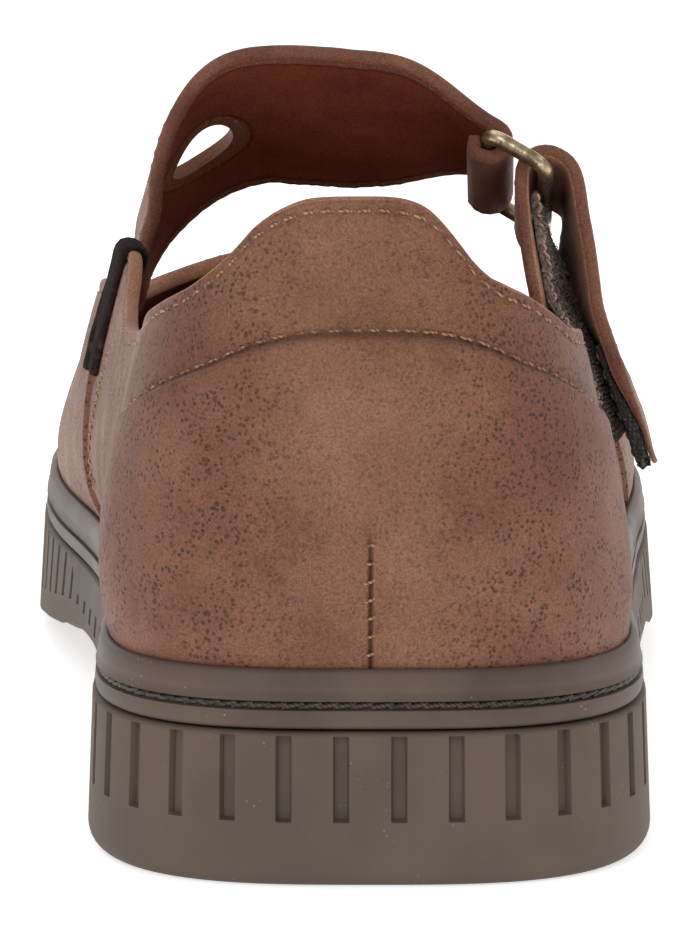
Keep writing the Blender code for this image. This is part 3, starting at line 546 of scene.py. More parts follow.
thetas = even_thetas(0.0024)
share = share_of(thetas)
inset = -(WALL + CLEARANCE)
bed_base = floor_height(share) + CLEARANCE
rows = [(inset, bed_base), (inset, bed_base + INSOLE_THICKNESS - INSOLE_ROUND)]
for k in range(1, 6):
    angle = math.pi / 2 * k / 5
    rows.append((inset - INSOLE_ROUND * (1 - math.cos(angle)),
                 bed_base + INSOLE_THICKNESS - INSOLE_ROUND * (1 - math.sin(angle))))
points = np.array([ring(thetas, np.broadcast_to(outset, share.shape), height)
                   for outset, height in rows])


def footbed_height(x, y):
    """Top of the footbed: level at its rim and a little lower inside it."""
    along = y / LENGTH + HEEL_CENTRE
    left = edge_point(theta_of(MEDIAL, along))[0]
    right = edge_point(theta_of(LATERAL, along))[0]
    room = min(x - left, right - x, along * LENGTH, (1 - along) * LENGTH) + inset - INSOLE_ROUND
    dish = 0.0011 * min(max(room / 0.014, 0.0), 1.0) ** 2
    return float(floor_height(along)) + CLEARANCE + INSOLE_THICKNESS - dish


inside = []
for y in np.arange(place(0.02), place(0.99), 0.004):
    along = y / LENGTH + HEEL_CENTRE
    left = edge_point(theta_of(MEDIAL, along))[0] + 0.0055
    right = edge_point(theta_of(LATERAL, along))[0] - 0.0055
    inside += [(x, y) for x in np.arange(-0.048, 0.048, 0.004) if left < x < right]
size = points.shape[0] * points.shape[1]
base, base_faces = cap(points[0], [], lambda x, y: 0.0, size)
cover, cover_faces = cap(points[-1], inside, footbed_height, size + len(base))
microfibre, tree, shader = new_material("brown microfibre", 0.85)
where = add(tree, "ShaderNodeTexCoord").outputs["Object"]
nap = add(tree, "ShaderNodeTexNoise", {"Vector": where, "Scale": 1800.0, "Detail": 4.0, "Roughness": 0.7})
worn = add(tree, "ShaderNodeTexNoise", {"Vector": where, "Scale": 45.0, "Detail": 3.0})
tone = blend_colours(tree, spread(tree, worn.outputs["Fac"], 0.35, 0.65),
                     paint(84, 52, 40), paint(108, 72, 56))
tone = blend_colours(tree, spread(tree, nap.outputs["Fac"], 0.3, 0.7), tone, paint(92, 60, 46))
tree.links.new(tone, shader.inputs["Base Color"])
relief = add(tree, "ShaderNodeBump", {"Height": nap.outputs["Fac"], "Strength": 0.35, "Distance": 0.0002})
tree.links.new(relief.outputs["Normal"], shader.inputs["Normal"])
footbed = make_object("footbed", np.concatenate([points.reshape(-1, 3), base, cover]),
                      lattice(len(rows), len(thetas)) + base_faces + cover_faces, [microfibre])
close_up(footbed)
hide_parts("insole")
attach(footbed, "root")


# The upper: waxed nubuck over a dark suede lining, one hollow wall closed over the last. The heel
# counter and the vamp are laid over it as a second layer, the collar edge is turned in and sewn,
# and the back seam is a butted slit. It stands in the cup's rand, glued all round.
INSTEP_HEIGHT = 0.0934
TOE_HEIGHT = 0.0476
COLLAR_HEIGHT = 0.0801
SIDE_BULGE = 0.004
CREST_START = 0.059
CREST_END = 0.93
COUNTER_STEP = 0.0009
VAMP_STEP = 0.0007
THROAT = 0.694
COUNTER_END = 0.268
VAMP_EDGE = {"medial": 0.4105, "lateral": 0.495}
HEEL_EASE = 0.35
SEAM_GROOVE = 0.00035
COLLAR_GROOVE = 0.00022
COLLAR_SEAM = 0.0013
SLIT_TOP = 0.0418
SLIT_DEPTH = 0.0006

# Crest of the form: height = instep * INSTEP_HEIGHT + toe * TOE_HEIGHT, aside in BALL_WIDTH
CREST = {
    "share":  (0.000, 0.180, 0.310, 0.375, 0.463, 0.546, 0.616, 0.686, 0.770, 0.856, 0.943, 1.000),
    "instep": (1.130, 1.150, 1.072, 1.000, 0.884, 0.740, 0.580, 0.400, 0.120, 0.040, 0.000, 0.000),
    "toe":    (0.000, 0.000, 0.000, 0.000, 0.000, 0.070, 0.227, 0.440, 0.893, 1.000, 1.030, 1.000),
    "aside":  (-0.011, -0.030, -0.110, -0.145, -0.135, -0.115, -0.105, -0.100, -0.100, -0.100,
               -0.100, -0.100),
}

# Section shape: fullness of each side's wall and top, and swell as a share of SIDE_BULGE
SECTION = {
    "share":   (0.000, 0.120, 0.200, 0.330, 0.390, 0.480, 0.560, 0.650, 0.800, 1.000),
    "medial":  (1.650, 1.700, 1.750, 1.980, 2.250, 2.450, 2.000, 1.850, 2.000, 2.200),
    "lateral": (1.650, 1.600, 1.500, 1.340, 1.320, 1.450, 1.720, 1.850, 2.000, 2.200),
    "top_medial":  (1.700, 1.700, 1.800, 2.200, 2.900, 2.900, 2.100, 1.900, 2.000, 2.200),
    "top_lateral": (1.700, 1.700, 1.800, 2.100, 2.300, 1.950, 1.850, 1.900, 2.000, 2.200),
    "swell_medial":  (0.550, 0.500, 0.600, 1.000, 0.950, 0.550, 0.250, 0.150, 0.000, 0.000),
    "swell_lateral": (0.150, 0.180, 0.220, 0.250, 0.200, 0.200, 0.180, 0.100, 0.000, 0.000),
}

# Height of the collar edge, in COLLAR_HEIGHT, on each side
TOPLINE = {
    "share":   (0.0000, 0.0012, 0.0034, 0.0061, 0.0094, 0.0139, 0.0213, 0.0323, 0.0573,
                0.101, 0.158, 0.215, 0.272, 0.314, 0.340, 0.359, 0.378, 0.386, 0.397, 0.403,
                0.4105, 0.418, 0.435, 0.481, 0.557, 0.600, 0.630, 0.660, 0.680, 0.694),
    "medial":  (0.999, 0.996, 0.985, 0.971, 0.952, 0.918, 0.887, 0.860, 0.832,
                0.795, 0.755, 0.725, 0.711, 0.736, 0.786, 0.809, 0.805, 0.740, 0.605, 0.585,
                0.620, 0.700, 0.721, 0.714, 0.672, 0.642, 0.651, 0.667, 0.686, 0.715),
    "lateral": (0.999, 0.984, 0.946, 0.905, 0.880, 0.867, 0.852, 0.829, 0.790,
                0.770, 0.745, 0.720, 0.700, 0.688, 0.679, 0.672, 0.665, 0.662, 0.658, 0.656,
                0.653, 0.651, 0.645, 0.630, 0.608, 0.601, 0.606, 0.628, 0.660, 0.715),
}

# Upper edge of the heel counter, in COLLAR_HEIGHT
COUNTER = {
    "share":  (0.000, 0.005, 0.014, 0.030, 0.060, 0.100, 0.140, 0.180, 0.222, 0.268),
    "height": (0.805, 0.785, 0.755, 0.725, 0.680, 0.640, 0.600, 0.535, 0.447, 0.330),
}


def eased_sides(theta, medial, lateral):
    """Value of each side, eased from one to the other across the middle of the heel."""
    turned = np.mod(theta + math.pi, TAU) - math.pi
    weight = np.clip(turned / (2 * HEEL_EASE) + 0.5, 0.0, 1.0)
    return lateral + (medial - lateral) * weight * weight * (3 - 2 * weight)


def form_point(theta, rise):
    """Point of the last's surface: rise is 0 at the feather edge and 1 on the crest."""
    theta, rise = np.broadcast_arrays(np.asarray(theta, dtype=float), np.asarray(rise, dtype=float))
    share = share_of(theta)
    fullness = eased_sides(theta, read(SECTION, "medial", share), read(SECTION, "lateral", share))
    top_fullness = eased_sides(theta, read(SECTION, "top_medial", share),
                               read(SECTION, "top_lateral", share))
    power = 2 / (fullness + (top_fullness - fullness) * rise * rise * (3 - 2 * rise))
    angle = rise * math.pi / 2
    outward = np.maximum(np.cos(angle), 0.0) ** power
    upward = np.maximum(np.sin(angle), 0.0) ** power
    crest = vector(read(CREST, "aside", share) * BALL_WIDTH,
                   place(CREST_START + (CREST_END - CREST_START) * share), 0.0)
    height = read(CREST, "instep", share) * INSTEP_HEIGHT + read(CREST, "toe", share) * TOE_HEIGHT
    swell = eased_sides(theta, read(SECTION, "swell_medial", share), read(SECTION, "swell_lateral", share))
    swell = swell * SIDE_BULGE * (upward / 0.2) * np.exp(1 - upward / 0.2)
    point = edge_point(theta) * outward[..., None] + crest * (1 - outward[..., None])
    point = point + edge_normal(theta) * swell[..., None]
    base = feather_height(share)
    point[..., 2] = base + (height - base) * upward
    return point


def form_normal(theta, rise):
    level = np.clip(rise, 0.01, 0.96)
    around = form_point(theta + 0.015, level) - form_point(theta - 0.015, level)
    up = form_point(theta, np.minimum(rise + 0.006, 1.0)) - form_point(theta, np.maximum(rise - 0.006, 0.0))
    return unit(np.cross(up, around))


def form(theta, rise, outset=0.0):
    """Point at a distance off the last's surface."""
    theta, rise, outset = np.broadcast_arrays(theta, rise, outset)
    normal = form_normal(theta, rise)
    other = form_normal(TAU - theta, rise)
    normal = np.where((rise >= 1.0)[..., None], unit(normal + other), normal)
    return form_point(theta, rise) + normal * np.asarray(outset)[..., None]


def solve(function, target):
    """Argument from 0 to 1 at which a rising function reaches the target."""
    low = np.zeros_like(target)
    high = np.ones_like(target)
    for _ in range(26):
        middle = (low + high) / 2
        under = function(middle) < target
        low = np.where(under, middle, low)
        high = np.where(under, high, middle)
    return (low + high) / 2


def rise_at(theta, height):
    """Rise at which the surface over one place of the edge reaches a height."""
    return solve(lambda rise: form_point(theta, rise)[..., 2], np.asarray(height, dtype=float))


def theta_at(side, rise, along):
    """Angle at which the surface at one rise lies a share of the length along."""
    rise, along = np.broadcast_arrays(np.asarray(rise, dtype=float), np.asarray(along, dtype=float))
    return theta_of(side, solve(lambda s: form_point(theta_of(side, s), rise)[..., 1], place(along)))


def on_form(side, rise, along, outset=0.0):
    return form(theta_at(side, rise, along), rise, outset)


def topline_rise(theta):
    """Rise of the free edge: the crest itself in front of the throat."""
    share = share_of(theta)
    height = by_side(theta, read(TOPLINE, "medial", share), read(TOPLINE, "lateral", share)) * COLLAR_HEIGHT
    return np.where(share >= THROAT, 1.0, rise_at(theta, height))


def counter_rise(theta):
    """Rise of the counter's seam, which runs on as a faint line under the quarters."""
    share = share_of(theta)
    top = topline_rise(theta)
    behind = rise_at(theta, read(COUNTER, "height", share) * COLLAR_HEIGHT)
    away = np.clip((share - COUNTER_END) / (0.4 - COUNTER_END), 0.0, 1.0)
    return np.where(share <= COUNTER_END, behind, top * (0.05 + 0.40 * away))


def bump(distance, width):
    return np.exp(-(distance / width) ** 2)


slit = np.interp([0.0001, 0.00025, 0.0004, 0.0007, 0.0012], walk()[1], walk()[0])
close_places = [theta_of(MEDIAL, s) for s in np.arange(0.362, 0.421, 0.0008)]
close_places += [theta_of(side, s) for side in (MEDIAL, LATERAL) for s in np.arange(0.664, 0.697, 0.0012)]
close_places += [theta_of(side, s) for side in (MEDIAL, LATERAL) for s in (THROAT - 0.0002, THROAT)]
for side, edge in ((MEDIAL, VAMP_EDGE["medial"]), (LATERAL, VAMP_EDGE["lateral"])):
    close_places += [theta_of(side, edge + step) for step in (-0.0008, 0.0, 0.0006, 0.0012, 0.002)]
thetas = even_thetas(0.0014, extra=np.concatenate([close_places, slit, TAU - slit]))
share = share_of(thetas)
top = topline_rise(thetas)
line = counter_rise(thetas)
closed = share >= THROAT - 1e-6
reach = np.linalg.norm(form_point(thetas, top) - form_point(thetas, line), axis=-1)
per_metre = (top - line) / np.maximum(reach, 1e-4)
low_steps = np.concatenate([[0.0], np.linspace(0.012, 0.90, 16), [0.94, 0.97]])
near_line = np.array([-1.0, -0.5, -0.25, 0.0, 0.3, 0.6, 0.9, 1.3, 1.8, 2.5]) * 0.001
near_top = np.array([-5.0, -3.6, -2.6, -2.0, -1.6, -1.3, -1.0, -0.6, 0.0]) * 0.001
rises = [line * step for step in low_steps]
rises += [line + per_metre * step for step in near_line]
bottom_of_top = top + per_metre * (near_top[0] - 0.002)
top_of_line = line + per_metre * (near_line[-1] + 0.002)
rises += [top_of_line + (bottom_of_top - top_of_line) * step for step in np.linspace(0.0, 1.0, 14)]
rises += [np.where(closed, np.minimum(top + per_metre * step, 1.0), top + per_metre * step)
          for step in near_top]
rises = np.sort(np.clip(np.array(rises), 0.0, 1.0), axis=0)
angles = np.broadcast_to(thetas, rises.shape)
places = np.broadcast_to(share, rises.shape)
below_line = (line - rises) / per_metre
below_top = (top - rises) / per_metre
in_counter = (places <= COUNTER_END) & (below_line > 0.0002)
vamp_start = by_side(thetas, VAMP_EDGE["medial"], VAMP_EDGE["lateral"])
in_vamp = np.clip((places - vamp_start) / 0.0012, 0.0, 1.0)
puffed = form_point(angles, rises)
ripple = (np.sin(puffed[..., 1] * 190 + puffed[..., 2] * 120)
          + np.sin(puffed[..., 0] * 230 - puffed[..., 2] * 170)
          + np.sin(puffed[..., 1] * 330 + puffed[..., 0] * 140)) * 0.00007
outset = COUNTER_STEP * in_counter * np.clip(below_line / 0.0006, 0.35, 1.0) + VAMP_STEP * in_vamp
outset = outset - SEAM_GROOVE * bump(below_line + 0.0006, 0.00045) * (places <= COUNTER_END)
outset = outset - COLLAR_GROOVE * bump(below_top - COLLAR_SEAM, 0.0004) * (~closed)
outset = outset - SLIT_DEPTH * bump(puffed[..., 0] - edge_point(0.0)[0], 0.00024) * (
    (places < 0.02) * np.clip((SLIT_TOP - puffed[..., 2]) / 0.002, 0.0, 1.0))
outset = outset - 0.0004 * bump(puffed[..., 0], 0.0016) * bump(
    puffed[..., 2] - SLIT_TOP - 0.0012, 0.0011) * (places < 0.02)
outset = outset + ripple * (rises > 0.05) * np.where(closed & (rises > 0.97), 0.3, 1.0)
outer = form(angles, rises, outset)
inner = form(angles, rises, -WALL)
up = unit(outer[-1] - outer[-4])
rim = []
for k in range(1, 6):
    angle = math.pi * k / 6
    spoke = (outer[-1] - inner[-1]) / 2
    rim.append((outer[-1] + inner[-1]) / 2 + spoke * math.cos(angle)
               + up * np.linalg.norm(spoke, axis=-1, keepdims=True) * 0.7 * math.sin(angle))
foot = ring(thetas, np.zeros_like(share), floor_height(share) + CLEARANCE)
foot_inside = ring(thetas, np.full_like(share, -WALL), floor_height(share) + CLEARANCE)
rows = np.concatenate([[foot], outer, rim, inner[::-1], [foot_inside]])
columns = len(thetas)
first_rim = len(outer)
last_rim = first_rim + len(rim)
faces = []
groups = []
for r in range(len(rows)):
    s = (r + 1) % len(rows)
    in_rim = first_rim <= r <= last_rim
    for c in range(columns):
        d = (c + 1) % columns
        if in_rim and closed[c] and closed[d]:
            continue
        faces.append((r * columns + c, r * columns + d, s * columns + d, s * columns + c))
        groups.append(2 if in_rim else (0 if r < first_rim else 1))

grain, start, end = new_group(
    "leather grain", (("Vector", "NodeSocketVector", None), ("Pore scale", "NodeSocketFloat", 1450.0),
                      ("Pore amount", "NodeSocketFloat", 1.0), ("Grain scale", "NodeSocketFloat", 3600.0)),
    ("Mottle", "Pores", "Speckle", "Height"))
where = start.outputs["Vector"]
mottle = add(grain, "ShaderNodeTexNoise", {"Vector": where, "Scale": 75.0, "Detail": 4.0, "Roughness": 0.6})
warp = add(grain, "ShaderNodeTexNoise", {"Vector": where, "Scale": 900.0, "Detail": 1.0})
moved = add(grain, "ShaderNodeVectorMath", {0: warp.outputs["Color"], 3: 0.0007}, operation="SCALE")
moved = add(grain, "ShaderNodeVectorMath", {0: where, 1: moved.outputs[0]}, operation="ADD")
cells = add(grain, "ShaderNodeTexVoronoi", {"Vector": moved.outputs[0],
                                            "Scale": start.outputs["Pore scale"]})
gate = add(grain, "ShaderNodeTexNoise", {"Vector": where, "Scale": 240.0, "Detail": 3.0})
pores = maths(grain, "MULTIPLY", spread(grain, cells.outputs["Distance"], 0.46, 0.16),
              spread(grain, gate.outputs["Fac"], 0.32, 0.56))
pores = maths(grain, "MULTIPLY", pores, start.outputs["Pore amount"])
speckle = add(grain, "ShaderNodeTexNoise", {"Vector": where, "Scale": start.outputs["Grain scale"],
                                            "Detail": 3.0, "Roughness": 0.75})
height = maths(grain, "SUBTRACT", maths(grain, "MULTIPLY", speckle.outputs["Fac"], 0.55),
               maths(grain, "MULTIPLY", pores, 0.8))
grain.links.new(mottle.outputs["Fac"], end.inputs["Mottle"])
grain.links.new(pores, end.inputs["Pores"])
grain.links.new(speckle.outputs["Fac"], end.inputs["Speckle"])
grain.links.new(height, end.inputs["Height"])


def leather(name, dark, mid, light, pore, roughness, pores=1.0, shade=None, bump_depth=0.00022, sheen=0.06,
            gloss=0.4):
    """Waxed nubuck: cloudy tone, dark pores in drifts, a fine nap, and a shade painted over it."""
    material, tree, shader = new_material(name, roughness, Sheen_Weight=sheen, Sheen_Roughness=0.6,
                                          Specular_IOR_Level=gloss)
    where = add(tree, "ShaderNodeTexCoord").outputs["Object"]
    skin = add(tree, "ShaderNodeGroup", {"Pore amount": pores}, node_tree=grain)
    tree.links.new(where, skin.inputs["Vector"])
    tone = blend_colours(tree, spread(tree, skin.outputs["Mottle"], 0.28, 0.52), dark, mid)
    tone = blend_colours(tree, spread(tree, skin.outputs["Mottle"], 0.50, 0.76), tone, light)
    if shade:
        tone, drift = shade(tree, where, tone)
        tree.links.new(maths(tree, "MULTIPLY", drift, pores), skin.inputs["Pore amount"])
    tone = blend_colours(tree, maths(tree, "MULTIPLY", skin.outputs["Pores"], 0.80), tone, pore)
    speck = spread(tree, skin.outputs["Speckle"], 0.30, 0.70)
    tone = blend_colours(tree, 0.70, tone, blend_colours(tree, speck, (0.36, 0.33, 0.31, 1.0),
                                                         (1.0, 1.0, 1.0, 1.0)), "OVERLAY")
    tree.links.new(tone, shader.inputs["Base Color"])
    tree.links.new(spread(tree, skin.outputs["Mottle"], 0.3, 0.7, roughness + 0.06, roughness - 0.06),
                   shader.inputs["Roughness"])
    relief = add(tree, "ShaderNodeBump", {"Height": skin.outputs["Height"], "Strength": 0.7,
                                          "Distance": bump_depth})
    tree.links.new(relief.outputs["Normal"], shader.inputs["Normal"])
    return material


def nubuck_shade(tree, where, tone):
    """Redder flanks with more pores, darkened as painted shade; sides ahead of the collar paled as painted
    light; burnished edges; painted shade in the seams.
    """
    parts = add(tree, "ShaderNodeSeparateXYZ", {"Vector": where})
    aside = maths(tree, "ABSOLUTE", maths(tree, "ADD", parts.outputs["X"], 0.001))
    # Painted shade: the heel's flanks are darker and redder where they turn away from the light, with more
    # pores there too.
    flank_shade = maths(tree, "MULTIPLY", spread(tree, aside, 0.006, 0.020),
                  spread(tree, parts.outputs["Y"], 0.012, -0.012))
    cloud = add(tree, "ShaderNodeTexNoise", {"Vector": where, "Scale": 42.0, "Detail": 2.0}).outputs["Fac"]
    flank_shade = maths(tree, "MULTIPLY", flank_shade, spread(tree, cloud, 0.30, 0.62))
    tone = blend_colours(tree, maths(tree, "MULTIPLY", flank_shade, 0.80), tone, paint(100, 56, 38))
    # Painted light: the sides ahead of the collar, which face the light, are painted paler.
    ahead = spread(tree, parts.outputs["Y"], 0.080, 0.130)
    tone = blend_colours(tree, maths(tree, "MULTIPLY", ahead, 0.62), tone, paint(156, 122, 101))
    edge = add(tree, "ShaderNodeAttribute", attribute_name="edge_distance").outputs["Fac"]
    rubbed = spread(tree, edge, 0.0016, 0.0)
    tone = blend_colours(tree, maths(tree, "MULTIPLY", rubbed, 0.45), tone, paint(112, 72, 55))
    # Painted shade: darker within 0.7 mm of the counter seam and the back slit, standing in for shade in
    # their grooves.
    seam = add(tree, "ShaderNodeAttribute", attribute_name="seam_distance").outputs["Fac"]
    seam_shade = spread(tree, maths(tree, "ABSOLUTE", seam), 0.0007, 0.0001)
    tone = blend_colours(tree, maths(tree, "MULTIPLY", seam_shade, 0.65), tone, paint(70, 40, 29))
    drift = maths(tree, "ADD", 0.45, maths(tree, "MULTIPLY", spread(tree, aside, 0.004, 0.018), 0.75))
    return tone, drift


nubuck = leather("brown nubuck", paint(106, 69, 50), paint(121, 82, 61), paint(133, 93, 71),
                 paint(66, 34, 22), 0.62, pores=1.0, shade=nubuck_shade)
lining = leather("dark suede lining", paint(96, 46, 32), paint(112, 56, 38), paint(126, 68, 48),
                 paint(58, 26, 18), 0.85, pores=0.35, sheen=0.0, gloss=0.15)
cut_edge = leather("tan cut edge", paint(128, 84, 61), paint(146, 100, 75), paint(160, 114, 87),
                   paint(96, 60, 42), 0.70, pores=0.4)
upper = make_object("nubuck_upper", rows, faces, [nubuck, lining, cut_edge], groups)
edge_values = np.full(rows.shape[:2], 0.05)
seam_values = np.full(rows.shape[:2], 0.05)
edge_values[1:first_rim + 1] = np.where(closed, 0.05, below_top)[:len(outer)]
edge_values[first_rim + 1:last_rim + 1] = 0.0
# The seam distance marks where painted shade darkens the counter seam and the back slit.
seam_values[1:first_rim + 1] = np.where(places <= COUNTER_END, below_line + 0.0003, 0.05)
slit_gap = np.where((places < 0.02) & (puffed[..., 2] < SLIT_TOP), np.abs(puffed[..., 0]) * 1.6, 0.05)
seam_values[1:first_rim + 1] = np.minimum(np.abs(seam_values[1:first_rim + 1]), slit_gap)
for title, values in (("edge_distance", edge_values), ("seam_distance", seam_values)):
    upper.data.attributes.new(title, "FLOAT", "POINT").data.foreach_set(
        "value", values.ravel().astype(np.float32))
close_up(upper, sharp=50.0, merge=2e-6)
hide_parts("upper")
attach(upper, "root")


# The brass ring: round wire bent to a long loop with round corners, its joint closed, and finished
# in a dull antique brass with rubbed and tarnished patches. Both straps are turned round it.
RING_WIRE = 0.0022
RING_INNER = 0.0070
RING_CORNER = 0.0024
RING_LIFT = 0.0042
RING_TILT = 22.0
RING_PLACE = 0.4335
RING_RISE = 0.550
STRAP_WIDTH = 0.0250


def ring_frame():
    """Middle of the ring, with its long, cross and outward directions."""
    half = STRAP_WIDTH / LENGTH / 2
    middle = on_form(LATERAL, RING_RISE, RING_PLACE, RING_LIFT)
    long = unit(on_form(LATERAL, RING_RISE, RING_PLACE + half)
                - on_form(LATERAL, RING_RISE, RING_PLACE - half))
    down = on_form(LATERAL, RING_RISE - 0.05, RING_PLACE) - on_form(LATERAL, RING_RISE + 0.05, RING_PLACE)
    down = unit(down - long * np.dot(down, long))
    out = np.cross(down, long)
    out = out if out[0] > 0 else -out
    tilt = math.radians(RING_TILT)
    return (middle, long, down * math.cos(tilt) + out * math.sin(tilt),
            out * math.cos(tilt) - down * math.sin(tilt))


ring_middle, ring_long, ring_down, ring_out = ring_frame()
bar = (RING_INNER + RING_WIRE) / 2
path = []
for corner, (i, j) in enumerate(((1, 1), (-1, 1), (-1, -1), (1, -1))):
    centre = ring_middle + ring_long * i * STRAP_WIDTH / 2 + ring_down * j * (bar - RING_CORNER)
    for k in range(13):
        angle = math.pi / 2 * (corner + k / 12)
        path.append(centre + (ring_long * math.cos(angle) + ring_down * math.sin(angle)) * RING_CORNER)
path = np.array(path)
around = unit(np.roll(path, -1, axis=0) - np.roll(path, 1, axis=0))
side = np.cross(around, ring_out)
sides = 20
turns = np.arange(sides)[:, None] * TAU / sides
points = path[:, None] + (side[:, None] * np.cos(turns) + ring_out * np.sin(turns)) * RING_WIRE / 2
faces = lattice(len(path), sides)
last = (len(path) - 1) * sides
faces += [(last + c, last + (c + 1) % sides, (c + 1) % sides, c) for c in range(sides)]
antique_brass, tree, shader = new_material("antique brass", 0.40, Metallic=0.9)
where = add(tree, "ShaderNodeTexCoord").outputs["Object"]
tarnish = add(tree, "ShaderNodeTexNoise", {"Vector": where, "Scale": 420.0, "Detail": 5.0,
                                           "Roughness": 0.65})
spots = add(tree, "ShaderNodeTexNoise", {"Vector": where, "Scale": 1900.0, "Detail": 3.0})
tone = blend_colours(tree, spread(tree, tarnish.outputs["Fac"], 0.38, 0.62),
                     paint(150, 128, 98), paint(214, 194, 160))
tone = blend_colours(tree, spread(tree, spots.outputs["Fac"], 0.60, 0.72), tone, paint(104, 84, 62))
tree.links.new(tone, shader.inputs["Base Color"])
tree.links.new(spread(tree, tarnish.outputs["Fac"], 0.35, 0.65, 0.46, 0.26), shader.inputs["Roughness"])
relief = add(tree, "ShaderNodeBump", {"Height": spots.outputs["Fac"], "Strength": 0.25, "Distance": 0.0001})
tree.links.new(relief.outputs["Normal"], shader.inputs["Normal"])
brass_ring = make_object("brass_ring", points, faces, [antique_brass])
close_up(brass_ring)
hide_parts("strap_ring")
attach(brass_ring, "root")


# The instep strap: nubuck outside, dark lining inside, the leather's edges turned in and sewn. It
# starts inside the medial vamp, has a teardrop cut in it, and is folded and sewn round the ring.
STRAP_THICKNESS = 0.0020
SEWN_TAIL = 0.0010
FRONT_DROP = 0.0030
TAIL_PRESS = 0.0018
TEAR_ALONG = 0.0368
TEAR_ACROSS = 0.0017
TEAR_LONG = 0.0060
TEAR_WIDE = 0.0036

# Strap across the form: turn is 0 at the crest, -1 at the medial feather, +1 at the lateral
INSTEP_STRAP = {
    "turn":  (-0.700, -0.640, -0.560, -0.480, -0.380, -0.250, -0.120, 0.000, 0.120, 0.220, 0.300),
    "back":  (0.437, 0.431, 0.421, 0.407, 0.394, 0.387, 0.386, 0.386, 0.387, 0.389, 0.392),
    "front": (0.603, 0.590, 0.576, 0.563, 0.553, 0.544, 0.538, 0.534, 0.528, 0.514, 0.496),
    "tuck":  (1.000, 1.000, 1.000, 0.300, 0.000, 0.000, 0.000, 0.000, 0.000, 0.000, 0.000),
    "lift":  (0.000, 0.000, 0.000, 0.000, 0.000, 0.000, 0.000, 0.000, 0.000, 0.120, 0.380),
}


def across_stations(width, middle=18, edge=0.0010):
    """Places across a strip, close together at its rounded edges, from -width/2 to width/2."""
    side = edge * np.array([0.0, 0.08, 0.25, 0.55, 1.0, 1.6, 2.4])
    inner = np.linspace(-width / 2 + 2.4 * edge, width / 2 - 2.4 * edge, middle)[1:-1]
    return np.concatenate([side - width / 2, inner, width / 2 - side[::-1]])


def finer(rows, spacing):
    """Rows of points laid smoothly between given rows, at an even spacing."""
    rows = np.asarray(rows)
    gaps = np.linalg.norm(np.diff(rows, axis=0), axis=2).mean(axis=1)
    at = np.concatenate([[0.0], np.cumsum(np.maximum(gaps, 1e-6))])
    tangent = np.gradient(rows, at, axis=0)
    wanted = np.linspace(0.0, at[-1], int(at[-1] / spacing) + 1)
    low = np.clip(np.searchsorted(at, wanted, side="right") - 1, 0, len(at) - 2)
    span = (at[low + 1] - at[low])[:, None, None]
    t = ((wanted - at[low]) / (at[low + 1] - at[low]))[:, None, None]
    between = rows[low] * (2 * t ** 3 - 3 * t ** 2 + 1) + rows[low + 1] * (3 * t ** 2 - 2 * t ** 3)
    bent = tangent[low] * (t ** 3 - 2 * t ** 2 + t) + tangent[low + 1] * (t ** 3 - t ** 2)
    return between + bent * span


def facing(grid):
    """Unit normals of a grid of points."""
    return unit(np.cross(np.gradient(grid, axis=0), np.gradient(grid, axis=1)))


def strip(name, grid, thickness, materials, edge=0.0008):
    """Strip of even thickness with rounded edges, about a grid: rows along it, columns across."""
    normal = facing(grid)
    walked = np.cumsum(np.linalg.norm(np.diff(grid, axis=1), axis=2), axis=1)
    walked = np.concatenate([np.zeros((len(grid), 1)), walked], axis=1)
    distance = np.minimum(walked, walked[:, -1:] - walked)
    along = np.linalg.norm(np.diff(grid, axis=0), axis=2).mean(axis=1)
    along = np.concatenate([[0.0], np.cumsum(along)])
    from_end = np.minimum(along, along[-1] - along)
    near = np.minimum(distance, from_end[:, None] + edge * 0.35)
    rounding = np.sqrt(np.clip(1 - (1 - np.clip(near / edge, 0.0, 1.0)) ** 2, 0.0, 1.0))
    half = np.reshape(thickness, (-1, 1)) / 2 * rounding
    face = grid + normal * half[..., None]
    back = grid - normal * half[..., None]
    loops = np.concatenate([face, back[:, -2:0:-1]], axis=1)
    rows, columns = loops.shape[:2]
    wide = grid.shape[1]
    faces = lattice(rows, columns)
    middles = np.concatenate([distance, distance[:, -2:0:-1]], axis=1)
    groups = []
    for r in range(rows - 1):
        for c in range(columns):
            on_face = c < wide - 1
            rim = min(middles[r, c], middles[r, (c + 1) % columns]) < edge * 0.20
            groups.append(2 if rim else (0 if on_face else 1))
    for r, flip in ((0, False), (rows - 1, True)):
        for c in range(wide - 1):
            a, b = r * columns + c, r * columns + c + 1
            d = r * columns + (columns - c) % columns
            e = r * columns + columns - c - 1 if c < wide - 2 else b
            quad = list(dict.fromkeys((a, b, e, d)))
            if len(quad) > 2:
                faces.append(tuple(reversed(quad)) if flip else tuple(quad))
                groups.append(2)
    thing = make_object(name, loops, faces, materials, groups)
    thing.data.attributes.new("edge_distance", "FLOAT", "POINT").data.foreach_set(
        "value", middles.ravel().astype(np.float32))
    return close_up(thing, sharp=55.0)


def fold(bar_place, radius, start, stations, steps=6):
    """Rows half round one bar of the ring, with a straight lead on both sides of it."""
    lead = -ring_down * RING_WIRE / 2 * math.cos(start)
    centres = []
    for k in range(steps + 1):
        angle = start + math.pi * k / steps
        centres.append(ring_middle + ring_down * bar_place
                       + (ring_out * math.cos(angle) + ring_down * math.sin(angle)) * radius)
    centres = [centres[0] + lead] + centres + [centres[-1] + lead]
    return [centre + ring_long * stations[:, None] for centre in centres]


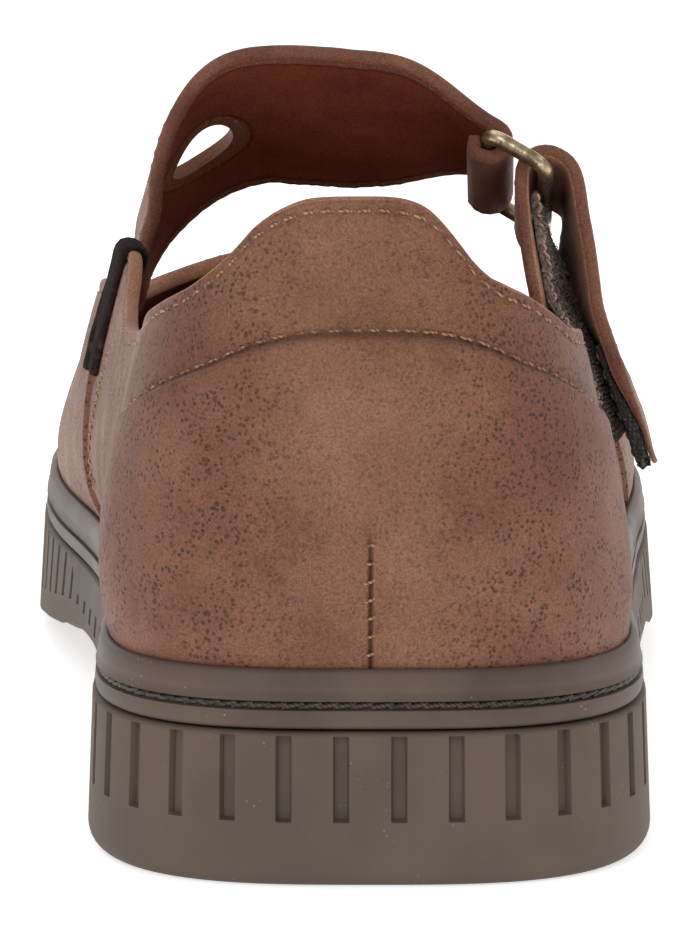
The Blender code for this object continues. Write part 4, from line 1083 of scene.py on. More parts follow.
def strap_shade(tree, where, tone):
    """Darker rubbed edges, and painted shade in a line under the sewing; gives the amount of pores too."""
    edge = add(tree, "ShaderNodeAttribute", attribute_name="edge_distance").outputs["Fac"]
    rubbed = spread(tree, edge, 0.0009, 0.0)
    tone = blend_colours(tree, maths(tree, "MULTIPLY", rubbed, 0.5), tone, paint(96, 60, 46))
    # Painted shade: a darker line 1.7 mm in from each edge, where the stitches sink into the leather.
    groove = spread(tree, maths(tree, "ABSOLUTE", maths(tree, "SUBTRACT", edge, 0.0017)), 0.0006, 0.0)
    return blend_colours(tree, maths(tree, "MULTIPLY", groove, 0.35), tone, paint(84, 50, 37)), 0.5


def lining_shade(tree, where, tone):
    """The lining stops short of the turned-in margin of lighter leather, with a frayed line."""
    edge = add(tree, "ShaderNodeAttribute", attribute_name="edge_distance").outputs["Fac"]
    ragged = add(tree, "ShaderNodeTexNoise", {"Vector": where, "Scale": 700.0, "Detail": 2.0}).outputs["Fac"]
    edge = maths(tree, "ADD", edge, maths(tree, "MULTIPLY", maths(tree, "SUBTRACT", ragged, 0.5), 0.0008))
    margin = spread(tree, edge, 0.0029, 0.0024)
    tone = blend_colours(tree, margin, tone, paint(128, 78, 58))
    fray = spread(tree, maths(tree, "ABSOLUTE", maths(tree, "SUBTRACT", edge, 0.0028)), 0.0005, 0.0)
    return blend_colours(tree, maths(tree, "MULTIPLY", fray, 0.6), tone, paint(48, 24, 17)), 0.6


strap_leather = leather("brown strap leather", paint(112, 70, 51), paint(127, 84, 63), paint(140, 97, 74),
                        paint(80, 42, 29), 0.60, pores=0.7, shade=strap_shade)
strap_lining = leather("dark strap lining", paint(104, 48, 33), paint(120, 58, 40), paint(136, 72, 50),
                       paint(66, 28, 18), 0.80, pores=0.5, shade=lining_shade, sheen=0.0, gloss=0.15)
rolled_edge = leather("rolled strap edge", paint(98, 58, 41), paint(115, 72, 53), paint(134, 90, 68),
                      paint(74, 40, 28), 0.66, pores=0.4)

strap_half = STRAP_THICKNESS / 2
raised = RING_LIFT + RING_WIRE / 2 + CLEARANCE + STRAP_THICKNESS
turns = np.linspace(INSTEP_STRAP["turn"][0], 0.19, 56)
stations = across_stations(STRAP_WIDTH)
shares = stations / STRAP_WIDTH + 0.5
rows = []
for turn in turns:
    side = MEDIAL if turn < 0 else LATERAL
    back = float(read(INSTEP_STRAP, "back", turn, "turn"))
    front = float(read(INSTEP_STRAP, "front", turn, "turn"))
    face = (float(np.interp(turn, (0.0, 0.06, 0.12, 0.19), (0.0, 0.04, 0.12, 0.32))) * raised
            - read(INSTEP_STRAP, "tuck", turn, "turn") * (WALL + CLEARANCE))
    drop = FRONT_DROP * shares * float(np.clip((turn + 0.05) / 0.24, 0.0, 1.0))
    rows.append(on_form(side, 1 - abs(turn), back + (front - back) * shares, face - strap_half - drop))
folded = fold(-bar, RING_WIRE / 2 + CLEARANCE + strap_half, 0.0, stations, 10)
rows += folded
rows += [folded[-1] - ring_down * SEWN_TAIL * step + ring_out * TAIL_PRESS * press
         for step, press in ((0.33, 0.30), (0.66, 0.75), (1.0, 1.0))]
instep_grid = finer(rows, 0.0009)
scallop = np.sin(np.arange(len(instep_grid)) * 0.0009 * TAU / 0.0024) * 0.00009
inward = unit(instep_grid[:, -3] - instep_grid[:, -1])
instep_grid[:, -1] += inward * scallop[:, None]
instep_grid[:, -2] += inward * scallop[:, None] * 0.7
instep_strap = strip("nubuck_instep_strap", instep_grid, STRAP_THICKNESS,
                     [strap_leather, strap_lining, rolled_edge])


def on_strap(grid, along, across):
    """Points of a grid at distances along it and across it, and the normals there."""
    walked = np.concatenate([[0.0], np.cumsum(np.linalg.norm(np.diff(grid, axis=0), axis=2).mean(axis=1))])
    row = np.interp(along, walked, np.arange(len(grid)))
    column = np.interp(across, stations, np.arange(len(stations)))
    r, c = row.astype(int), column.astype(int)
    u, v = (row - r)[:, None], (column - c)[:, None]
    normal = facing(grid)
    found = []
    for values in (grid, normal):
        low = values[r, c] * (1 - v) + values[r, c + 1] * v
        high = values[r + 1, c] * (1 - v) + values[r + 1, c + 1] * v
        found.append(low * (1 - u) + high * u)
    return found[0], unit(found[1])


def tear_outline(grow=0.0, steps=56):
    """The teardrop on the strap: round towards the crest, pointed towards the sole."""
    angle = np.arange(steps) * TAU / steps
    narrow = np.where(np.cos(angle) < 0, np.abs(np.sin(angle)) ** 1.35, np.abs(np.sin(angle)))
    along = TEAR_ALONG + (TEAR_LONG + grow) * np.cos(angle)
    across = TEAR_ACROSS + (TEAR_WIDE + grow) * narrow * np.sign(np.sin(angle))
    return on_strap(instep_grid, along, across)


tear, tear_out = tear_outline()
middle = tear.mean(axis=0)
tip = tear_out.mean(axis=0) * 0.0032
points = np.concatenate([tear + tear_out * 0.0028, tear - tear_out * 0.0028, [middle + tip, middle - tip]])
count = len(tear)
faces = [(k, (k + 1) % count, (k + 1) % count + count, k + count) for k in range(count)]
faces += [((k + 1) % count, k, 2 * count) for k in range(count)]
faces += [(k + count, (k + 1) % count + count, 2 * count + 1) for k in range(count)]
punch = make_object("teardrop_punch", points, faces, [strap_leather, strap_lining, rolled_edge],
                    np.full(len(faces), 2))
close_up(punch)
around = instep_strap.data.attributes["edge_distance"].data
for vertex in instep_strap.data.vertices:
    gap = np.linalg.norm(tear - np.array(vertex.co), axis=1).min()
    flat = math.sqrt(max(gap * gap - strap_half * strap_half, 0.0))
    inner = np.linalg.norm(np.array(vertex.co) - middle) < TEAR_WIDE
    around[vertex.index].value = min(around[vertex.index].value, 0.0 if inner else flat)


def settle(thing):
    """Turns a thing with modifiers into a plain mesh of the same name."""
    graph = bpy.context.evaluated_depsgraph_get()
    mesh = bpy.data.meshes.new_from_object(thing.evaluated_get(graph), depsgraph=graph)
    thing.modifiers.clear()
    old = thing.data
    thing.data = mesh
    bpy.data.meshes.remove(old)
    return thing


boolean = instep_strap.modifiers.new("teardrop", "BOOLEAN")
boolean.operation = "DIFFERENCE"
boolean.object = punch
settle(instep_strap)
bpy.data.objects.remove(punch)
instep_strap.data.set_sharp_from_angle(angle=math.radians(55))
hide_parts("instep_strap")
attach(instep_strap, "root")


# The fastening strap: the same leather, sewn behind the lateral quarter. It goes up through the
# ring, turns outwards over its bar and comes down again to a rounded tip.
FOLD_ROOM = 0.0012
ROOT_FLARE = 0.0044
SKIVED = 0.0008

STRAP_ROOT = {
    "rise": (0.235, 0.270, 0.310, 0.350, 0.385, 0.415, 0.445),
    "tuck": (1.000, 1.000, 1.000, 1.000, 0.950, 0.700, 0.350),
}

# Ring to tip: stand is the centre's distance off the form, wide its share of the width
STRAP_RETURN = {
    "rise":  (0.445, 0.415, 0.385, 0.350, 0.310, 0.270, 0.235, 0.200, 0.172, 0.154, 0.145),
    "stand": (0.0084, 0.0076, 0.0067, 0.0057, 0.0051, 0.0048, 0.0047, 0.0047, 0.0046, 0.0046, 0.0046),
    "wide":  (1.000, 1.000, 1.000, 1.000, 1.000, 1.000, 1.000, 0.980, 0.900, 0.760, 0.520),
}

tape_leather = leather("brown tape leather", paint(116, 73, 53), paint(131, 88, 66), paint(145, 103, 79),
                       paint(84, 46, 32), 0.60, pores=0.6, shade=strap_shade)
tape_backing = leather("tan strap backing", paint(134, 90, 66), paint(154, 110, 84), paint(172, 130, 102),
                       paint(100, 64, 47), 0.72, pores=0.5)
turned_out = stations / STRAP_WIDTH + 0.5


def return_flare(rise, share_over):
    """The return stands off further at its back edge and closer at its front one."""
    far = float(np.interp(rise, (0.27, 0.31, 0.37, 0.445), (0.0004, -0.0004, -0.0026, -0.0028)))
    near = float(np.interp(rise, (0.145, 0.27, 0.35), (0.0016, 0.0008, 0.0)))
    return near + (far - near) * share_over


rows = []
for rise, tuck in list(zip(STRAP_ROOT["rise"], STRAP_ROOT["tuck"]))[:6]:
    eased = float(np.interp(rise, (0.35, 0.385, 0.415), (1.0, 0.62, 0.40)))
    flare = ROOT_FLARE * turned_out * float(np.clip((rise - 0.32) / 0.06, 0.0, 1.0))
    rows.append(on_form(LATERAL, rise, RING_PLACE + stations / LENGTH,
                        -(WALL + CLEARANCE + strap_half) * min(tuck, eased) + flare))
rows += fold(bar, RING_WIRE / 2 + FOLD_ROOM + strap_half, math.pi, stations, 10)[4:]
layers = [np.full(len(rows), STRAP_THICKNESS)]
for rise, stand, wide in zip(STRAP_RETURN["rise"], STRAP_RETURN["stand"], STRAP_RETURN["wide"]):
    thick = float(np.interp(rise, (0.215, 0.262), (SKIVED, STRAP_THICKNESS)))
    flare = return_flare(rise, turned_out)
    rows.append(on_form(LATERAL, rise, RING_PLACE + stations * wide / LENGTH,
                        stand + strap_half - thick / 2 + flare))
    layers.append([thick])
layers = np.concatenate(layers)[:, None, None]
rows = np.concatenate([rows, np.broadcast_to(layers, (len(layers), len(stations), 1))], axis=2)
rows = finer(rows, 0.0009)
fastening_grid = rows[..., :3]
fastening_layer = rows[:, 0, 3]
fastening_strap = strip("nubuck_fastening_strap", fastening_grid, fastening_layer,
                        [tape_leather, tape_backing, rolled_edge])
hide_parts("fastening_strap")
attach(fastening_strap, "root")


# The loop pad: grey-brown looped pile woven on a tape, its edges ragged and oversewn in pinkish
# thread. It is sewn on the strap's root and runs down on to the quarter.
PAD_WIDTH = 0.0215
PAD_THICKNESS = 0.0010
PAD_FLARE = 0.0020
LOOP_ROWS = (0.185, 0.225, 0.270, 0.310)

pile, tree, shader = new_material("grey loop pile", 0.95, Sheen_Weight=0.3)
where = add(tree, "ShaderNodeTexCoord").outputs["Object"]
curls = add(tree, "ShaderNodeTexNoise", {"Vector": where, "Scale": 1500.0, "Detail": 5.0,
                                         "Roughness": 0.8})
clumps = add(tree, "ShaderNodeTexNoise", {"Vector": where, "Scale": 350.0, "Detail": 3.0})
tone = blend_colours(tree, spread(tree, curls.outputs["Fac"], 0.35, 0.65),
                     paint(86, 70, 61), paint(186, 166, 154))
tone = blend_colours(tree, spread(tree, clumps.outputs["Fac"], 0.35, 0.65), tone, paint(118, 98, 87))
tree.links.new(tone, shader.inputs["Base Color"])
relief = add(tree, "ShaderNodeBump", {"Height": curls.outputs["Fac"], "Strength": 0.9, "Distance": 0.0005})
tree.links.new(relief.outputs["Normal"], shader.inputs["Normal"])
pad_stations = across_stations(PAD_WIDTH, 26, 0.0006)
pad_out = pad_stations / PAD_WIDTH + 0.5
rows = []
for rise in LOOP_ROWS:
    flare = PAD_FLARE * pad_out * (0.6 + 0.4 * float(np.clip((rise - 0.185) / 0.08, 0.0, 1.0)))
    rows.append(on_form(LATERAL, rise, RING_PLACE + pad_stations / LENGTH,
                        CLEARANCE * 2 + PAD_THICKNESS / 2 + flare))
heights = fastening_grid[:, 16, 2]
climb = np.arange(int(np.argmax(heights)))
climb = climb[(heights[climb] > rows[-1][:, 2].mean() + 0.006) & (heights[climb] < heights.max() - 0.0040)]
strap_out = -facing(fastening_grid)
if strap_out[climb[0], 12, 0] < 0:
    strap_out = -strap_out
for r in climb[::5]:
    grid_row = fastening_grid[r] + strap_out[r] * (strap_half + CLEARANCE + PAD_THICKNESS / 2)
    rows.append(np.column_stack([np.interp(pad_stations, stations, grid_row[:, k]) for k in range(3)]))
pad_grid = finer(rows, 0.0006)
rough = np.random.default_rng(7)
pad_grid += facing(pad_grid) * (rough.normal(0.0, 0.00010, pad_grid.shape[:2]))[..., None]
edge_wave = rough.normal(0.0, 0.00022, (len(pad_grid), 2))
pad_grid[:, 0] += unit(pad_grid[:, 0] - pad_grid[:, 2]) * edge_wave[:, :1]
pad_grid[:, -1] += unit(pad_grid[:, -1] - pad_grid[:, -3]) * edge_wave[:, 1:]
loop_pad = strip("loop_pile_pad", pad_grid, PAD_THICKNESS, [pile, pile, pile], 0.0005)
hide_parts("loop_pad")
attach(loop_pad, "root")


# The hook pad: stiff black tape with rows of tiny hooks, on the inner face of the strap's tip,
# held by two pale rows of stitches. It follows the strap to its rounded end.
HOOK_THICKNESS = 0.0008

hook_tape, tree, shader = new_material("black hook tape", 0.72)
where = add(tree, "ShaderNodeTexCoord").outputs["Object"]
hooks = add(tree, "ShaderNodeTexVoronoi", {"Vector": where, "Scale": 1500.0, "Randomness": 0.25})
hook_glints = add(tree, "ShaderNodeTexNoise", {"Vector": where, "Scale": 2400.0, "Detail": 3.0})
# Painted light and shade: the hook tops are paler and the gaps between them darker.
tone = blend_colours(tree, spread(tree, hooks.outputs["Distance"], 0.20, 0.45),
                     paint(74, 70, 65), paint(38, 35, 33))
# Painted glints: pale whitish patches where the plastic hooks catch the light.
tone = blend_colours(tree, spread(tree, hook_glints.outputs["Fac"], 0.62, 0.74), tone, paint(120, 116, 104))
tree.links.new(tone, shader.inputs["Base Color"])
relief = add(tree, "ShaderNodeBump", {"Height": hooks.outputs["Distance"], "Strength": 0.8,
                                      "Distance": 0.0004}, invert=True)
tree.links.new(relief.outputs["Normal"], shader.inputs["Normal"])
rows = []
layers = []
for rise, stand, wide in list(zip(STRAP_RETURN["rise"], STRAP_RETURN["stand"], STRAP_RETURN["wide"]))[4:]:
    thick = float(np.interp(rise, (0.215, 0.262), (SKIVED, STRAP_THICKNESS)))
    tape = HOOK_THICKNESS + (STRAP_THICKNESS - thick) * 0.9
    broad = pad_stations * wide * (1 + (STRAP_THICKNESS - thick) * 130) / LENGTH
    flare = return_flare(rise, pad_out)
    rows.append(on_form(LATERAL, rise, RING_PLACE + broad,
                        stand + strap_half - thick - CLEARANCE / 2 - tape / 2 + flare))
    layers.append(tape)
layers = np.array(layers)[:, None, None]
rows = np.concatenate([rows, np.broadcast_to(layers, (len(layers), len(pad_stations), 1))], axis=2)
rows = finer(rows, 0.0006)
hook_grid = rows[..., :3]
hook_layer = rows[:, 0, 3]
hook_grid += facing(hook_grid) * rough.normal(0.0, 0.00005, hook_grid.shape[:2])[..., None]
hook_pad = strip("hook_tape_pad", hook_grid, hook_layer, [hook_tape, hook_tape, hook_tape], 0.0004)
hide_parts("hook_pad")
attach(hook_pad, "root")


# The elastic gore: black ribbed elastic folded over the medial ear, where the quarter gives as the
# foot goes in. Its ribs run up and over the fold.
GORE_THICKNESS = 0.0010
GORE_TOP = 0.808
SNUG = 0.0001

GORE = {
    "height": (0.585, 0.650, 0.720, 0.780, 0.822),
    "back":   (0.386, 0.379, 0.371, 0.364, 0.360),
    "front":  (0.416, 0.413, 0.410, 0.4055, 0.402),
}

elastic, tree, shader = new_material("black ribbed elastic", 0.85, Specular_IOR_Level=0.2)
where = add(tree, "ShaderNodeTexCoord").outputs["Object"]
weave = add(tree, "ShaderNodeTexNoise", {"Vector": where, "Scale": 2600.0, "Detail": 4.0, "Roughness": 0.7})
worn = add(tree, "ShaderNodeTexNoise", {"Vector": where, "Scale": 500.0, "Detail": 3.0})
tone = blend_colours(tree, spread(tree, weave.outputs["Fac"], 0.35, 0.65),
                     paint(22, 15, 12), paint(44, 31, 25))
tone = blend_colours(tree, spread(tree, worn.outputs["Fac"], 0.52, 0.72), tone, paint(74, 52, 42))
tree.links.new(tone, shader.inputs["Base Color"])
relief = add(tree, "ShaderNodeBump", {"Height": weave.outputs["Fac"], "Strength": 0.6, "Distance": 0.0002})
tree.links.new(relief.outputs["Normal"], shader.inputs["Normal"])


def at_height(side, height, along):
    """Angle and rise of the surface point with this height and share of the length."""
    height, along = np.broadcast_arrays(np.asarray(height, dtype=float), np.asarray(along, dtype=float))
    rise = solve(lambda r: form_point(theta_at(side, r, along), r)[..., 2], height)
    return theta_at(side, rise, along), rise


gore_half = GORE_THICKNESS / 2
inside = -(WALL + SNUG + gore_half)
ribs = 9
share_across = np.linspace(0.0, 1.0, ribs * 6 + 1)


def gore_row(level, within):
    height, back, front = level
    along = back + (front - back) * share_across
    theta, rise = at_height(MEDIAL, min(height, GORE_TOP) * COLLAR_HEIGHT, along)
    over_vamp = VAMP_STEP * np.clip((along - VAMP_EDGE["medial"] + 0.004) / 0.004, 0.0, 1.0)
    return form(theta, rise, inside if within else SNUG + gore_half + over_vamp)


levels = list(zip(GORE["height"], GORE["back"], GORE["front"]))
rows = [gore_row(level, False) for level in levels]
top_out = rows[-1]
top_in = gore_row(levels[-1], True)
below = gore_row(levels[-2], False)
for k in range(1, 8):
    angle = math.pi * k / 8
    centre = (top_out + top_in) / 2
    spoke = top_out - centre
    upward = unit(top_out - below) * np.linalg.norm(spoke, axis=-1, keepdims=True) * 0.75
    rows.append(centre + spoke * math.cos(angle) + upward * math.sin(angle))
rows += [gore_row(level, True) for level in reversed(levels)]
gore_grid = finer(rows, 0.0008)
ridge = -np.abs(np.sin(share_across * math.pi * ribs)) * 0.00022 + 0.00011
gore_grid += facing(gore_grid) * ridge[None, :, None]
gore = strip("elastic_gore_band", gore_grid, GORE_THICKNESS, [elastic, elastic, elastic], 0.0005)
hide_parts("elastic_gore")
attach(gore, "root")


# The upper's sewing: waxed two-ply thread in lock stitches that sink into their holes at both
# ends. It is golden at the collar, counter, quarter and back seam, and brown in the vamp's rows.
THREAD = 0.00020
STITCH = 0.0021
GAP = 0.0007

sewing = bpy.data.node_groups.new("sewn row", "GeometryNodeTree")
sewing.interface.new_socket("Geometry", in_out="INPUT", socket_type="NodeSocketGeometry")
for title, kind, value in (("Stitch length", "NodeSocketFloat", STITCH),
                           ("Thread radius", "NodeSocketFloat", THREAD),
                           ("Crown", "NodeSocketFloat", 0.0003), ("Sink", "NodeSocketFloat", 0.0003),
                           ("Wobble", "NodeSocketFloat", 0.06), ("Seed", "NodeSocketInt", 3),
                           ("Thread", "NodeSocketMaterial", None)):
    socket = sewing.interface.new_socket(title, in_out="INPUT", socket_type=kind)
    if value is not None:
        socket.default_value = value
sewing.interface.new_socket("Geometry", in_out="OUTPUT", socket_type="NodeSocketGeometry")
start = sewing.nodes.new("NodeGroupInput")
end = sewing.nodes.new("NodeGroupOutput")
half_length = maths(sewing, "MULTIPLY", start.outputs["Stitch length"], 0.5)
sunk = maths(sewing, "MULTIPLY", start.outputs["Sink"], -1.0)
ends = [add(sewing, "ShaderNodeCombineXYZ", {"X": x, "Z": z}).outputs[0] for x, z in (
    (maths(sewing, "MULTIPLY", half_length, -1.0), sunk),
    (0.0, maths(sewing, "MULTIPLY", start.outputs["Crown"], 2.0)), (half_length, sunk))]
arc = add(sewing, "GeometryNodeCurveQuadraticBezier",
          {"Resolution": 6, "Start": ends[0], "Middle": ends[1], "End": ends[2]})
profile = add(sewing, "GeometryNodeCurvePrimitiveCircle",
              {"Resolution": 6, "Radius": start.outputs["Thread radius"]})
loop = add(sewing, "GeometryNodeCurveToMesh", {"Curve": arc.outputs[0], "Profile Curve": profile.outputs[0],
                                               "Fill Caps": True})
facing_along = add(sewing, "GeometryNodeInputNamedAttribute", {"Name": "along"}, data_type="FLOAT_VECTOR")
facing_out = add(sewing, "GeometryNodeInputNamedAttribute", {"Name": "out"}, data_type="FLOAT_VECTOR")
turn = add(sewing, "FunctionNodeAxesToRotation", {"Primary Axis": facing_along.outputs["Attribute"],
                                                  "Secondary Axis": facing_out.outputs["Attribute"]},
           primary_axis="X", secondary_axis="Z")
low_wobble = maths(sewing, "MULTIPLY", start.outputs["Wobble"], -1.0)
shake = add(sewing, "FunctionNodeRandomValue", {"Seed": start.outputs["Seed"]}, data_type="FLOAT")
sewing.links.new(low_wobble, shake.inputs[2])
sewing.links.new(start.outputs["Wobble"], shake.inputs[3])
euler = add(sewing, "FunctionNodeEulerToRotation",
            {"Euler": add(sewing, "ShaderNodeCombineXYZ", {"Z": shake.outputs[1]}).outputs[0]})
turned = add(sewing, "FunctionNodeRotateRotation",
             {"Rotation": turn.outputs[0], "Rotate By": euler.outputs[0]}, rotation_space="LOCAL")
spots = add(sewing, "GeometryNodeInstanceOnPoints",
            {"Points": start.outputs["Geometry"], "Instance": loop.outputs[0],
             "Rotation": turned.outputs[0]})
real = add(sewing, "GeometryNodeRealizeInstances", {"Geometry": spots.outputs[0]})
smooth = add(sewing, "GeometryNodeSetShadeSmooth", {"Geometry": real.outputs[0]})
dyed = add(sewing, "GeometryNodeSetMaterial",
           {"Geometry": smooth.outputs[0], "Material": start.outputs["Thread"]})
sewing.links.new(dyed.outputs[0], end.inputs["Geometry"])


def even_along(path, outs, pitch, inset=0.0):
    """Points, directions and outward arrows at an even pitch along a line."""
    steps = np.linalg.norm(np.diff(path, axis=0), axis=1)
    walked = np.concatenate([[0.0], np.cumsum(steps)])
    spots = np.arange(inset + pitch / 2, walked[-1] - inset, pitch)
    found = np.column_stack([np.interp(spots, walked, path[:, k]) for k in range(3)])
    ahead = np.column_stack([np.interp(spots + 0.0004, walked, path[:, k])
                             - np.interp(spots - 0.0004, walked, path[:, k]) for k in range(3)])
    out = np.column_stack([np.interp(spots, walked, outs[:, k]) for k in range(3)])
    return found, unit(ahead), unit(out)


def sew(name, lines, thread, length=STITCH, gap=GAP, radius=THREAD, crown=0.00025, sink=0.00025,
        wobble=0.05, slope=0.0, seed=3):
    """Rows of stitches along lines of points with outward arrows, as one piece."""
    spots, alongs, outs = [], [], []
    for path, outward in lines:
        found, ahead, out = even_along(np.asarray(path), np.asarray(outward), length + gap)
        side = np.cross(out, ahead)
        spots.append(found)
        alongs.append(unit(ahead + side * slope))
        outs.append(out)
    mesh = bpy.data.meshes.new(name)
    mesh.from_pydata(np.concatenate(spots).tolist(), [], [])
    for title, values in (("along", alongs), ("out", outs)):
        mesh.attributes.new(title, "FLOAT_VECTOR", "POINT").data.foreach_set(
            "vector", np.concatenate(values).ravel().astype(np.float32))
    thing = bpy.data.objects.new(name, mesh)
    scene.collection.objects.link(thing)
    modifier = thing.modifiers.new("sewn row", "NODES")
    modifier.node_group = sewing
    wanted = {"Stitch length": length, "Thread radius": radius, "Crown": crown, "Sink": sink,
              "Wobble": wobble, "Seed": seed, "Thread": thread}
    for item in sewing.interface.items_tree:
        if item.in_out == "INPUT" and item.name in wanted:
            modifier[item.identifier] = wanted[item.name]
    settle(thing)
    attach(thing, "root")
    return thing


def thread_material(name, dark, light):
    """Waxed thread: twisted plies seen as fine slanting bands."""
    material, tree, shader = new_material(name, 0.55, Sheen_Weight=0.2)
    where = add(tree, "ShaderNodeTexCoord").outputs["Object"]
    plies = add(tree, "ShaderNodeTexWave",
                {"Vector": where, "Scale": 900.0, "Distortion": 2.0, "Detail": 2.0},
                bands_direction="DIAGONAL")
    wax = add(tree, "ShaderNodeTexNoise", {"Vector": where, "Scale": 700.0, "Detail": 2.0})
    tone = blend_colours(tree, plies.outputs["Fac"], dark, light)
    tone = blend_colours(tree, spread(tree, wax.outputs["Fac"], 0.45, 0.7), tone, dark)
    tree.links.new(tone, shader.inputs["Base Color"])
    relief = add(tree, "ShaderNodeBump", {"Height": plies.outputs["Fac"], "Strength": 0.5,
                                          "Distance": 0.0001})
    tree.links.new(relief.outputs["Normal"], shader.inputs["Normal"])
    return material


gold_thread = thread_material("golden waxed thread", paint(112, 70, 46), paint(198, 150, 108))
brown_thread = thread_material("brown waxed thread", paint(92, 58, 42), paint(150, 108, 82))


def upper_line(side, first, last, drop_mm, outset=0.0, follow=topline_rise):
    """Line on the upper, a little below its free edge or another line, and its outward arrows."""
    shares = np.linspace(first, last, 260)
    angles = theta_of(side, shares)
    level = follow(angles)
    scale = np.linalg.norm(form_point(angles, level) - form_point(angles, level - 0.02), axis=-1) / 0.02
    level = np.clip(level - drop_mm * 0.001 / scale, 0.0, 1.0)
    return form(angles, level, outset), form_normal(angles, level)


def joined(first, second):
    """One line from two that start at the same place, running from the far end of the first."""
    return (np.concatenate([first[0][::-1], second[0][1:]]), np.concatenate([first[1][::-1], second[1][1:]]))


def heel_line(last_medial, last_lateral, drop_mm, outset=0.0, follow=topline_rise, power=2.6):
    """Line round the heel from the medial side to the lateral side."""
    halves = []
    for side, last in ((MEDIAL, last_medial), (LATERAL, last_lateral)):
        shares = last * np.linspace(0.0, 1.0, 320) ** power
        angles = theta_of(side, shares)
        level = follow(angles)
        scale = np.linalg.norm(form_point(angles, level) - form_point(angles, level - 0.02), axis=-1) / 0.02
        level = level - drop_mm * 0.001 / scale
        halves.append((form(angles, level, outset), form_normal(angles, level)))
    return joined(*halves)


collar_lines = [heel_line(0.325, 0.37, 1.25, -0.00005)]
front_lines = [upper_line(MEDIAL, 0.432, THROAT - 0.003, 1.5, VAMP_STEP),
               upper_line(LATERAL, 0.50, THROAT - 0.003, 1.5, VAMP_STEP),
               upper_line(LATERAL, 0.37, 0.485, 1.25, -0.00005)]
sew("collar_stitches", collar_lines + front_lines, gold_thread, 0.0014, 0.0008,
    radius=0.00019, crown=0.00014, sink=0.00030)
sew("counter_stitches", [heel_line(COUNTER_END, COUNTER_END, -0.6, -0.00015, counter_rise)], gold_thread,
    0.0015, 0.0007, radius=0.00019, crown=0.00018)

vamp_lines = []
for side, name in ((MEDIAL, "medial"), (LATERAL, "lateral")):
    edge = VAMP_EDGE[name] + 0.0075
    top_level = float(topline_rise(np.array([theta_of(side, edge)]))[0])
    for shift in (0.0, 0.008):
        angle = theta_of(side, edge + shift)
        levels_up = np.linspace(0.02, top_level - 0.03, 120)
        angles = np.full_like(levels_up, angle)
        vamp_lines.append((form(angles, levels_up, VAMP_STEP - 0.00005), form_normal(angles, levels_up)))
sew("vamp_stitches", vamp_lines, brown_thread, 0.0013, 0.0008, radius=0.00013,
    crown=0.00010)

quarter_lines = []
for shift in (0.0, 0.0018):
    shares_down = np.linspace(0.335, 0.404, 60)
    heights_down = np.interp(shares_down, (0.335, 0.352, 0.378, 0.396, 0.404),
                             (0.690, 0.650, 0.560, 0.480, 0.400))
    angles, levels_down = at_height(MEDIAL, heights_down * COLLAR_HEIGHT - shift, shares_down)
    quarter_lines.append((form(angles, levels_down, 0.00002), form_normal(angles, levels_down)))
sew("quarter_stitches", quarter_lines, gold_thread, 0.0012, 0.0009, radius=0.00018,
    crown=0.00016)

slit_heights = np.linspace(0.0275, SLIT_TOP - 0.0015, 7)
slit_points = []
for height in slit_heights:
    level = float(rise_at(np.array([0.0]), np.array([height]))[0])
    base = form(0.0, level, COUNTER_STEP + 0.00002)
    slit_points.append((base + np.array([[-0.00075, 0.0, -0.0001], [0.00075, 0.0, 0.0002]]),
                        np.array([[0.0, -1.0, 0.1]] * 2)))
sew("back_seam_stitches", slit_points, gold_thread, 0.0013, 0.0002, radius=0.00017,
    crown=0.0001, sink=0.0002, wobble=0.25)


# The sole's thread: a thick dark two-ply thread laid in the cup's groove right round the shoe.
# Its slanting plies lie close together, so that it reads as one twisted cord.
dark_thread = thread_material("dark brown waxed thread", paint(40, 30, 26), paint(96, 76, 62))
groove_thetas = walk(BAND_PROUD)[0][::4]
groove_shares = share_of(groove_thetas)
groove_path = ring(groove_thetas, np.full_like(groove_shares, BAND_PROUD - GROOVE_DEPTH * 0.62),
                   seam_height(groove_shares) + GROOVE_HEIGHT)
sew("sole_thread", [(groove_path, edge_normal(groove_thetas))], dark_thread, 0.0026, -0.0006,
    radius=0.00030, crown=0.00008, sink=0.00005, wobble=0.05, slope=0.16)


# The straps' sewing: thin brown thread close to both edges of each strap, on both faces, with a row
# round the teardrop and one across the folded end that holds the ring.
EDGE_SEAM = 0.0017


def strip_line(grid, thickness, inset, far_side, top, first=0, last=None):
    """Line on a strip, at an inset from one edge, on its face or its back."""
    normal = facing(grid)
    walked = np.cumsum(np.linalg.norm(np.diff(grid, axis=1), axis=2), axis=1)
    walked = np.concatenate([np.zeros((len(grid), 1)), walked], axis=1)
    thickness = np.broadcast_to(thickness, len(grid))
    path, outs = [], []
    for r in range(first, last or len(grid)):
        at = walked[r, -1] - inset if far_side else inset
        point = np.array([np.interp(at, walked[r], grid[r, :, k]) for k in range(3)])
        out = np.array([np.interp(at, walked[r], normal[r, :, k]) for k in range(3)]) * (1 if top else -1)
        path.append(point + unit(out) * thickness[r] / 2)
        outs.append(unit(out))
    return np.array(path), np.array(outs)


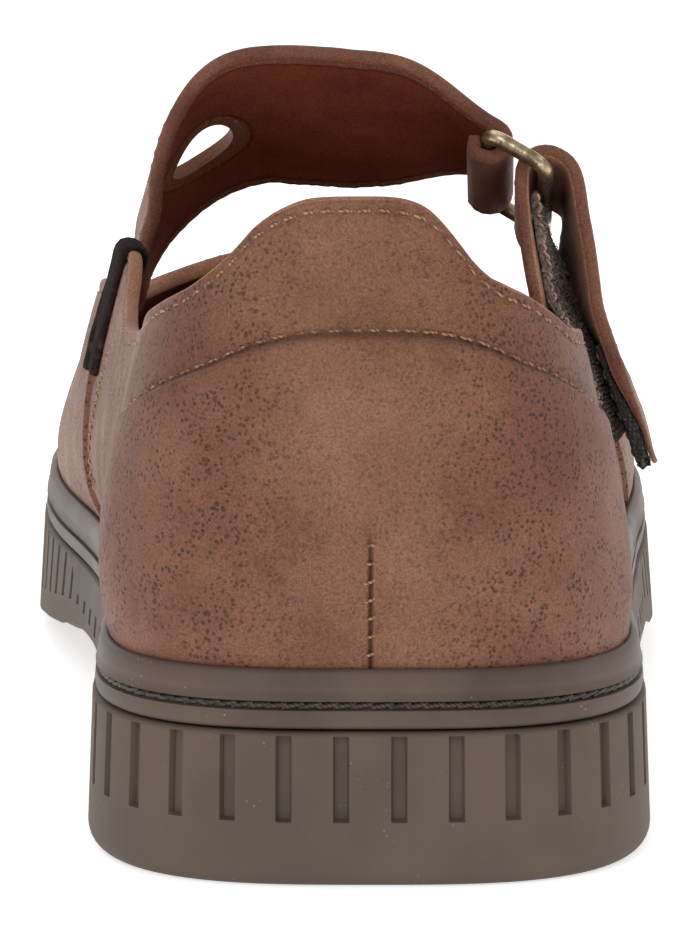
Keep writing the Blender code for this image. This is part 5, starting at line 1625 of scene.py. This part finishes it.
instep_rows = len(instep_grid)
strap_lines = [strip_line(instep_grid, STRAP_THICKNESS, EDGE_SEAM, far, top, 8, instep_rows - 14)
               for far in (False, True) for top in (False, True)]
sew("instep_strap_stitches", strap_lines, brown_thread, 0.0015, 0.0008, radius=0.00016,
    crown=0.00010)
fastening_rows = len(fastening_grid)
strap_lines = [strip_line(fastening_grid, fastening_layer, EDGE_SEAM, far, top, 6, fastening_rows - 8)
               for far in (False, True) for top in (False, True)]
sew("fastening_strap_stitches", strap_lines, brown_thread, 0.0015, 0.0008, radius=0.00014,
    crown=0.00008)
tear_lines = []
for sign in (1.0, -1.0):
    path, outs = tear_outline(0.0014, 90)
    tear_lines.append((path + outs * sign * strap_half, outs * sign))
sew("teardrop_stitches", tear_lines, brown_thread, 0.0013, 0.0006, radius=0.00016,
    crown=0.00012)
end_out = -facing(instep_grid)[-14, 12]
end_line = instep_grid[-14, 2:-2] + end_out * strap_half
sew("strap_end_stitches", [(end_line, np.repeat([end_out], len(end_line), axis=0))], brown_thread,
    0.0018, 0.0008)


# The loop pad's sewing and pile: pinkish thread oversewn along the tape's two ragged edges, and
# short curls of the pile's own yarn that stand all over its outer face.
PILE = 2300

pink_thread = thread_material("pinkish oversewing thread", paint(150, 112, 98), paint(214, 178, 160))
pad_lines = [strip_line(pad_grid, PAD_THICKNESS, 0.0007, far, False) for far in (False, True)]
sew("loop_pad_stitches", pad_lines, pink_thread, 0.0014, 0.0001, radius=0.00022, crown=0.0003,
    wobble=0.6)
curls = []
pile_out = -facing(pad_grid)
curl_rows = rough.integers(3, len(pad_grid) - 3, PILE)
curl_columns = rough.integers(4, pad_grid.shape[1] - 4, PILE)
for r, c in zip(curl_rows, curl_columns):
    base = pad_grid[r, c] + pile_out[r, c] * PAD_THICKNESS / 2
    lean = rough.normal(0.0, 1.0, 3)
    lean = unit(lean - pile_out[r, c] * np.dot(lean, pile_out[r, c])) * 0.0005
    curls.append((np.array([base - lean, base + lean]), np.array([pile_out[r, c] + lean * 500] * 2)))
sew("loop_pile_curls", curls, pile, 0.0009, 0.0001, radius=0.00007, crown=0.0007, sink=0.0002,
    wobble=0.8)


# The hook pad's sewing: a pale thread that holds the tape on the strap's tip, in a row a little
# way in from each edge, seen on both faces of the tape.
pale_thread = thread_material("pale tape thread", paint(96, 92, 78), paint(164, 158, 138))
hook_lines = [strip_line(hook_grid, hook_layer, 0.0022, far, top) for far in (False, True)
              for top in (False, True)]
sew("hook_pad_stitches", hook_lines, pale_thread, 0.0018, 0.0012, radius=0.00016)
